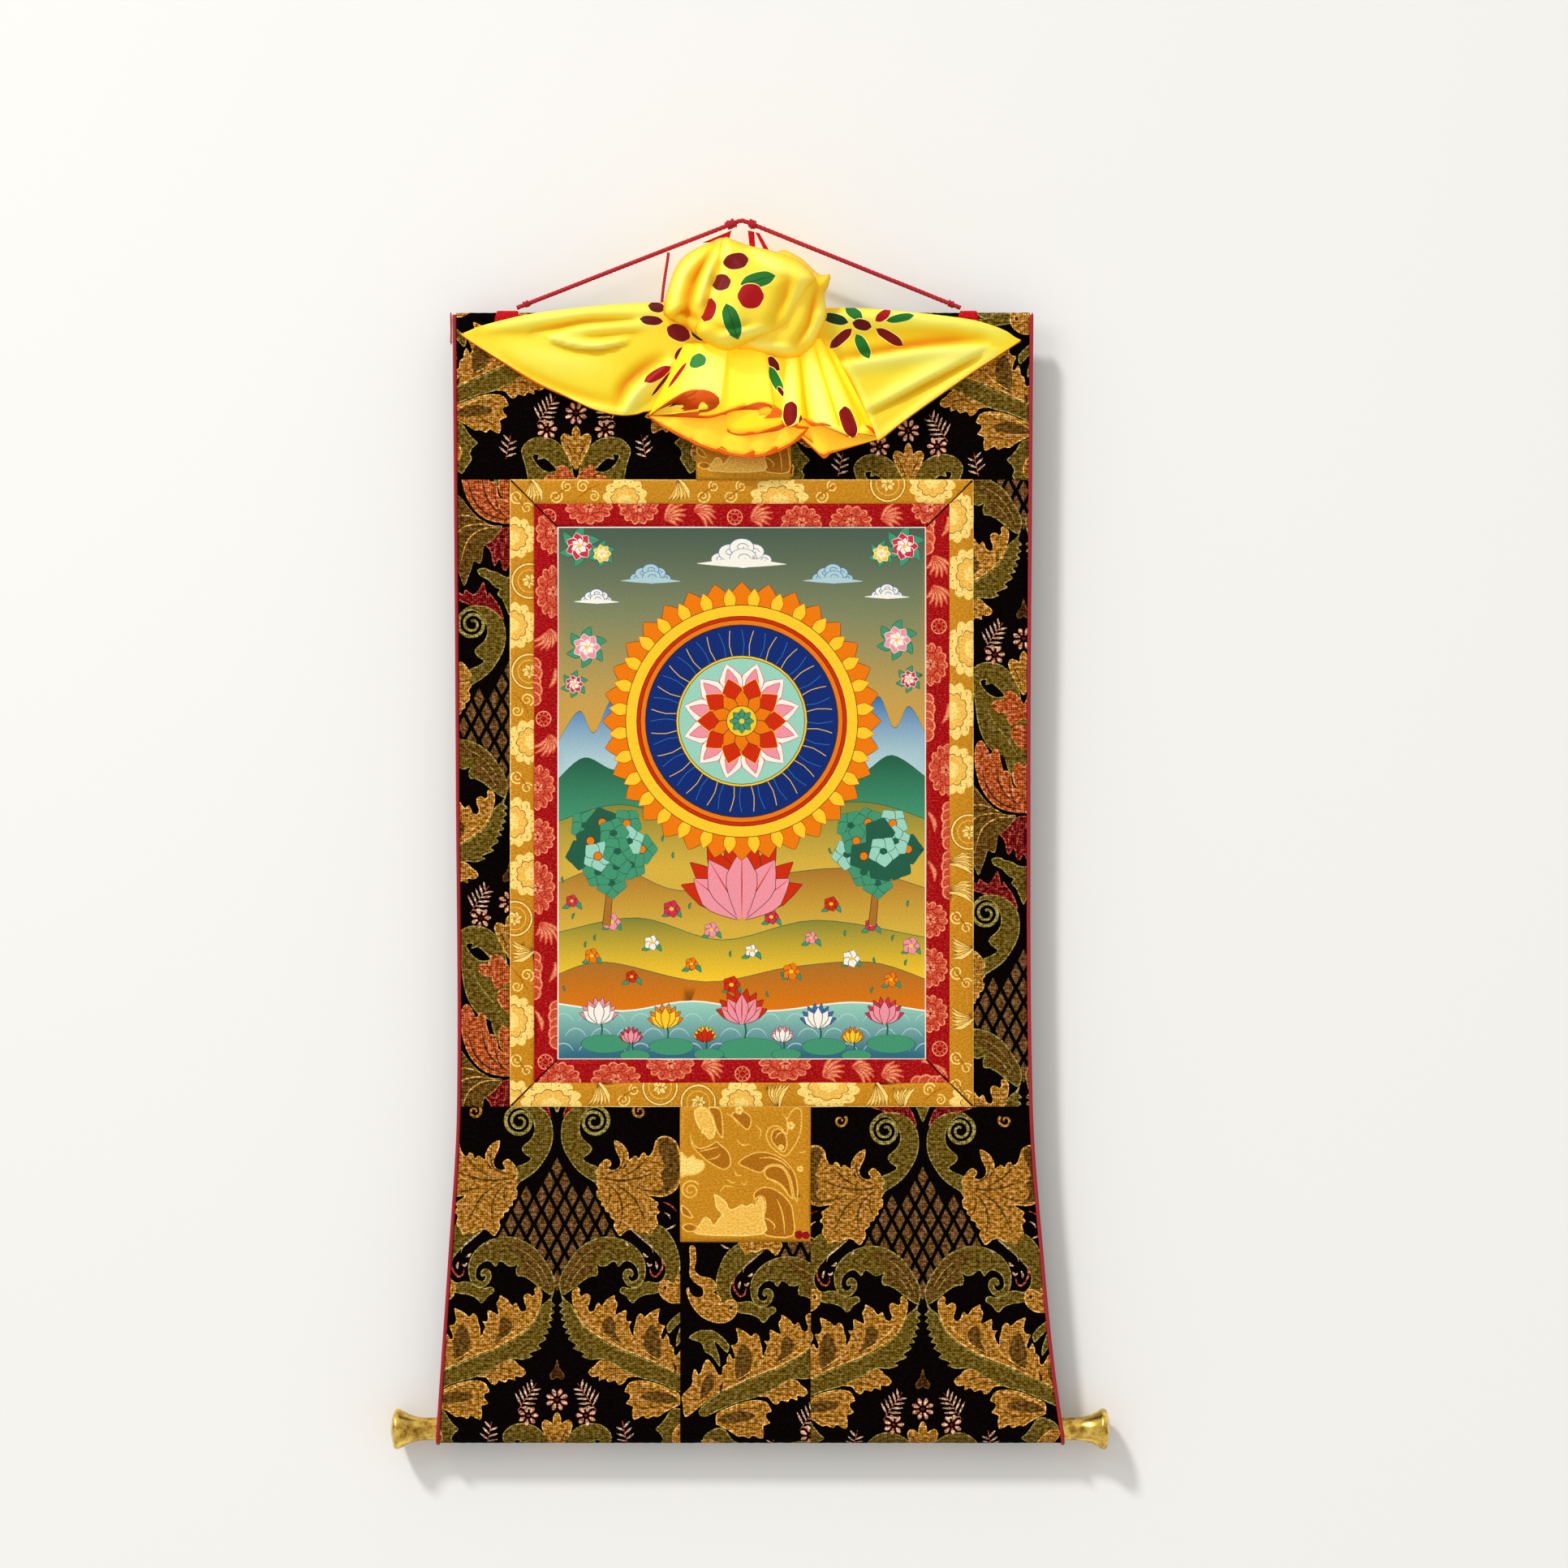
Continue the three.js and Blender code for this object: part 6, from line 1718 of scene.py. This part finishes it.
# The skirt's hems, as (x, z, lift), each hung from a narrower line under the rosette
SKIRT_HEM = [
    (-75.9, -159.7, 9), (-65.3, -167, 13), (-54.8, -172.9, 16), (-42.2, -179.5, 14), (-30.4, -184.8, 17),
    (-15.8, -189.4, 15), (-1.3, -192.1, 18), (8.6, -192.7, 16), (17.8, -191.4, 18), (27.1, -188.8, 15),
    (37, -184.1, 17), (46.9, -177.5, 14), (54.8, -167.6, 10),
]
RUFFLE_HEM = [
    (-75.9, -159.7, 12), (-64.7, -151.1, 22), (-54.1, -143.9, 29), (-43.6, -138.6, 32), (-33, -137.3, 34),
    (-23.1, -139.9, 35), (-17.8, -145.9, 34), (-20.5, -151.8, 32), (-27.7, -155.1, 29), (-35, -155.8, 27),
    (-35.6, -159.1, 25), (-27.7, -160.4, 25), (-18.5, -158.4, 26), (-1.3, -152.5, 27), (13.2, -147.8, 28),
    (22.4, -149.8, 28), (25.1, -154.4, 26), (19.8, -159.7, 24), (7.3, -161, 22), (-4, -162.4, 20),
    (-11.2, -166.3, 18), (-11.9, -171.6, 18), (-2.6, -174.2, 20), (11.9, -172.9, 22), (25.1, -168.3, 22),
    (35.6, -165, 20), (46.2, -169, 16), (54.1, -169, 11),
]
PLEAT_HEM = [
    (30, -150, 14), (31.5, -160, 19), (34, -166, 23), (39, -168, 26), (44.5, -166.5, 25), (48, -162, 18),
    (51, -160.5, 10), (53.5, -162, 8), (56, -166, 15), (60, -167, 23), (67, -166, 27), (74, -167, 25),
    (78, -168.5, 18), (80, -168, 10), (81.5, -170, 12), (84, -174.5, 20), (88.5, -176.5, 24),
    (93.5, -174.5, 22), (97, -169.5, 15), (98.5, -167, 8), (100.5, -166.5, 9), (104, -167.5, 13),
    (108.5, -170, 12), (111.5, -177, 8),
]
PLEAT_LINING = [
    (34, -164, 8), (46, -166, 8), (52, -168, 8), (55, -176, 9), (60, -186, 10), (66.5, -193.4, 11),
    (72, -189, 11), (77, -179, 9), (80, -172, 7), (90, -170, 6), (99, -170, 6), (105, -175.5, 6.5),
    (111.5, -178.9, 7),
]
FALLS = [
    # name, hem, middle and level of the line it hangs from, that line's share of the width left and right,
    # its lift, prints
    ("veil_skirt", SKIRT_HEM, 2, -100, (0.5, 0.5), 12, []),
    ("veil_ruffle", RUFFLE_HEM, -2, -100, (0.6, 0.75), 20, [
        (-36, -115, 24, 15, -30, LEAF), (-51.5, -126, 24, 9, 60, CHERRY), (27, -116, 14, 8, -40, GARNET),
        (27.1, -129, 22, 9, -62, LEAF), (32, -140, 9, 4, -50, GARNET),
    ]),
    ("veil_pleat_lining", PLEAT_LINING, 40, -96, (0.42, 0.42), 8, []),
    ("veil_pleats", PLEAT_HEM, 40, -96, (0.42, 0.42), 13, [
        (39.6, -157.1, 20, 14, 80, BERRY), (50.5, -164, 10, 8, 60, GARNET), (88.5, -164.8, 22, 16, 85, BERRY),
    ]),
]


def hung(hem, middle, level, narrow, depth):
    """A cloth that falls from a short line to a hem, as a function of distance along the hem and down."""
    rows = rounded(hem, 8)
    reach = [0.0]
    for (x0, z0, l0), (x1, z1, l1) in zip(rows, rows[1:]):
        reach.append(reach[-1] + math.dist((x0, z0, l0), (x1, z1, l1)))
    fall = sum(level - z for _, z, _ in rows) / len(rows)

    def at(u, v):
        k = min(max(next((i for i, r in enumerate(reach) if r > u), len(rows) - 1), 1), len(rows) - 1)
        t = min(max((u - reach[k - 1]) / max(reach[k] - reach[k - 1], 1e-6), 0), 1)
        x, z, lift = [a + t * (b - a) for a, b in zip(rows[k - 1], rows[k])]
        s = v / fall
        top = narrow[x > middle]
        spread = top + (1 - top) * s
        deep = depth + (lift - depth) * (0.35 + 0.65 * s) + 3 * math.sin(math.pi * s)
        wrinkle = 0.9 * noise.noise(Vector((u / 9, v / 40, depth))) * s
        return middle + (x - middle) * spread, level + (z - level) * s, deep + wrinkle

    return at, reach[-1], fall


for name, hem, middle, level, narrow, depth, prints in FALLS:
    at, length, fall = hung(hem, middle, level, narrow, depth)
    spots = [(u * length / 80, v * fall / 20) for u in range(81) for v in range(21)]

    def flat_spot(x, z):
        """Where a point of the picture lies on the flat cloth, on its front layer."""
        def miss(spot):
            px, pz, lift = at(*spot)
            return math.hypot(px - x, pz - z) - 0.15 * lift
        return min(spots, key=miss)

    laid = [(*flat_spot(x, z), *rest) for x, z, *rest in prints]
    rim = [(HEM, [(0, fall), (length, fall), (length, fall - 1.2), (0, fall - 1.2)])]
    corners = [(length * k / 60, 0) for k in range(61)] + [(length * k / 60, fall) for k in range(60, -1, -1)]
    # painted shade and highlight: the hanging silk is darker where it lies further back and paler where it
    # stands forward
    tone = (lambda u, v: silk(max((at(u, v)[2] - 1.35 * depth) / 2, -2))) if prints else dye(250, 190, 40)
    piece = woven_sheet(name, corners, rim + printed(laid, -1), tone, lambda u, v: sighted(*at(u, v)),
                        (1.8, 2.4),
                        VEIL_THICKNESS, (veil_face, veil_back))
    veil_parts.append(piece)

# The rosette's petals, each a puff of silk with its rim turned back
PETALS = [
    # name, lift of its rim, height and reach of its puff, depth behind its rim, outline, folds, prints
    ("veil_petal_left", 20, 20, 24, 17, [
        (-14.5, -14.5), (-23.8, -17.2), (-35.6, -22.4), (-45.5, -28.4), (-52.8, -37.6), (-57.4, -48.8),
        (-61.4, -62), (-63.4, -73.9), (-59.4, -79.2), (-51.5, -83.2), (-43.6, -87.1), (-37, -92.4),
        (-27.7, -97.7), (-19.8, -91.1), (-14.5, -71.3), (-5.9, -44.9), (-5.9, -21.8),
    ], [
        ([(-22, -22), (-34, -40), (-42, -62), (-44, -84)], -6, 3, 5),
        ([(-28, -24), (-48, -44), (-55, -70)], 4, 4, 4),
        ([(-56, -78), (-46, -74), (-34, -82)], -5, 3, 3), ([(-20, -24), (-28, -44), (-34, -66)], 4, 3, 3),
    ], []),
    ("veil_petal_right", 18, 22, 24, 16, [
        (30.4, -25.1), (46.9, -30.4), (59.4, -41.6), (65.3, -44.9), (71.3, -44.2), (70, -52.8),
        (66.7, -59.4), (68, -71.3), (68.6, -77.9), (63.4, -89.8), (56.8, -102.3), (48.8, -108.9),
        (37, -112.2), (22.4, -109.6), (7.3, -105.6), (-4, -104.3), (-5.9, -94.4), (10.6, -71.3),
        (23.8, -48.2),
    ], [
        ([(62, -50), (58, -66), (54, -84), (44, -100)], -5, 3, 4),
        ([(66, -62), (64, -80), (54, -98)], 4, 3, 3),
        ([(40, -104), (24, -102), (8, -100)], 4, 3, 3),
    ], []),
    ("veil_petal_front", 31, 23, 34, 14, [
        (-14.5, -14.5), (-5.9, -16.5), (7.3, -21.1), (27.7, -25.7), (46.9, -33.7), (57.4, -43.6),
        (59.4, -48.8), (52.8, -56.1), (46.9, -65.3), (42.2, -75.2), (38.3, -85.1), (28.4, -91.7),
        (14.5, -95), (2, -100.3), (-9.9, -104.9), (-19.8, -103), (-30.4, -97), (-37.6, -90.4),
        (-34.3, -79.2), (-29, -67.3), (-26.4, -55.4), (-19.1, -39.6), (-19.8, -29),
    ], [
        ([(-12, -18), (-14, -34), (-22, -56), (-28, -78)], 4, 4, 6),
        ([(8, -24), (26, -38), (46, -44)], 4, 6, 4),
        ([(40, -42), (35, -62), (25, -84)], -4, 4, 7), ([(20, -88), (2, -90), (-16, -94)], 4, 4, 4),
        ([(52, -46), (46, -60), (38, -78)], 3, 4, 4), ([(-24, -84), (-10, -88), (6, -84)], -3, 3, 4),
    ], [
        (-4.6, -33, 20, 13, 8, BERRY), (13.2, -48.2, 29, 12, 14, LEAF), (-16.5, -50.2, 15.5, 13, 10, BERRY),
        (7.3, -61.4, 21, 20, 0, CHERRY), (-27.1, -72.6, 20, 12, 72, CHERRY), (-7.9, -81.8, 30, 13, -72, LEAF),
    ]),
]
for name, rim_lift, height, reach, behind, outline, folds, prints in PETALS:
    ring = closed(outline, 6)
    tree = kdtree.KDTree(len(ring))
    for k, (x, z) in enumerate(ring):
        tree.insert((x, z, 0), k)
    tree.balance()
    lines = [(rounded(line, 4), *rest) for line, *rest in folds]

    def puff(x, z):
        inside = tree.find((x, z, 0))[2]
        return inside, pillow(inside, 1.0, reach)

    def on_front(x, z):
        inside, rise = puff(x, z)
        soft = min(inside / 8, 1)
        creases = sum(fold(x, z, *line) for line in lines)
        creases += 1.2 * noise.noise(Vector((x / 18, z / 18, rim_lift)))
        return sighted(x, z, rim_lift + height * rise + soft * creases)

    # painted shade and highlight: folds darken and pale the silk, and it is darker just inside the petal's
    # rim
    def tone(x, z):
        return silk(1 + sum(fold(x, z, *line) for line in lines) - 4 * max(1 - puff(x, z)[0] / 5, 0))

    def on_rear(x, z):
        return sighted(x, z, rim_lift - behind * puff(x, z)[1])

    for side, place, marks in (("", on_front, printed(prints)), ("_rear", on_rear, [])):
        piece = woven_sheet(name + side, ring, marks, tone, place, (2, 2), VEIL_THICKNESS,
                            (veil_face, veil_back))
        veil_parts.append(piece)

veil = veil_parts[0]
veil.name = "veil_silk"
with bpy.context.temp_override(active_object=veil, selected_editable_objects=veil_parts):
    bpy.ops.object.join()
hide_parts("veil")

# Stage and light
# A pale wall behind the scroll, lit by a window and a lamp at the upper left.
WALL_Y = 27 * MM


def backdrop(name, corners, colour):
    board = mesh_object(name, corners, [(0, 1, 2, 3)], smooth=False)
    material, tree, principled = finish_material(name, Roughness=0.9, Specular_IOR_Level=0.1)
    principled.inputs["Base Color"].default_value = colour
    sight = wired(tree, "NewGeometry")
    ray = wired(tree, "LightPath")
    unseen = wired(tree, "Math", {"operation": "MAXIMUM"}, n0=sight.outputs["Backfacing"],
                   n1=ray.outputs["Is Shadow Ray"])
    clear = wired(tree, "BsdfTransparent")
    mixed = wired(tree, "MixShader", n0=unseen.outputs[0], n1=principled.outputs[0], n2=clear.outputs[0])
    output = tree.nodes["Material Output"]
    tree.links.new(mixed.outputs[0], output.inputs["Surface"])
    board.data.materials.append(material)
    return board


backdrop("wall", [Vector(p) for p in [(-3, WALL_Y, -1.6), (3, WALL_Y, -1.6), (3, WALL_Y, 2),
                                      (-3, WALL_Y, 2)]],
         dye(241, 240, 237))
sun = bpy.data.lights.new("window light", "SUN")
sun.energy = 1.8
sun.angle = math.radians(7)
sun_lamp = bpy.data.objects.new("window light", sun)
sun_lamp.rotation_euler = Vector((0.82, 1.0, -1.4)).to_track_quat("-Z", "Y").to_euler()
scene.collection.objects.link(sun_lamp)
glow = bpy.data.lights.new("lamp", "AREA")
glow.size = 0.8
glow.energy = 6
glow_lamp = bpy.data.objects.new("lamp", glow)
glow_lamp.location = (-1.1, -1.6, 0.5)
glow_lamp.rotation_euler = Vector((0.9, 1.6, -0.7)).to_track_quat("-Z", "Y").to_euler()
scene.collection.objects.link(glow_lamp)
world = bpy.data.worlds.new("room")
world.use_nodes = True
world.node_tree.nodes["Background"].inputs["Color"].default_value = (1.0, 0.985, 0.96, 1)
world.node_tree.nodes["Background"].inputs["Strength"].default_value = 0.67
scene.world = world
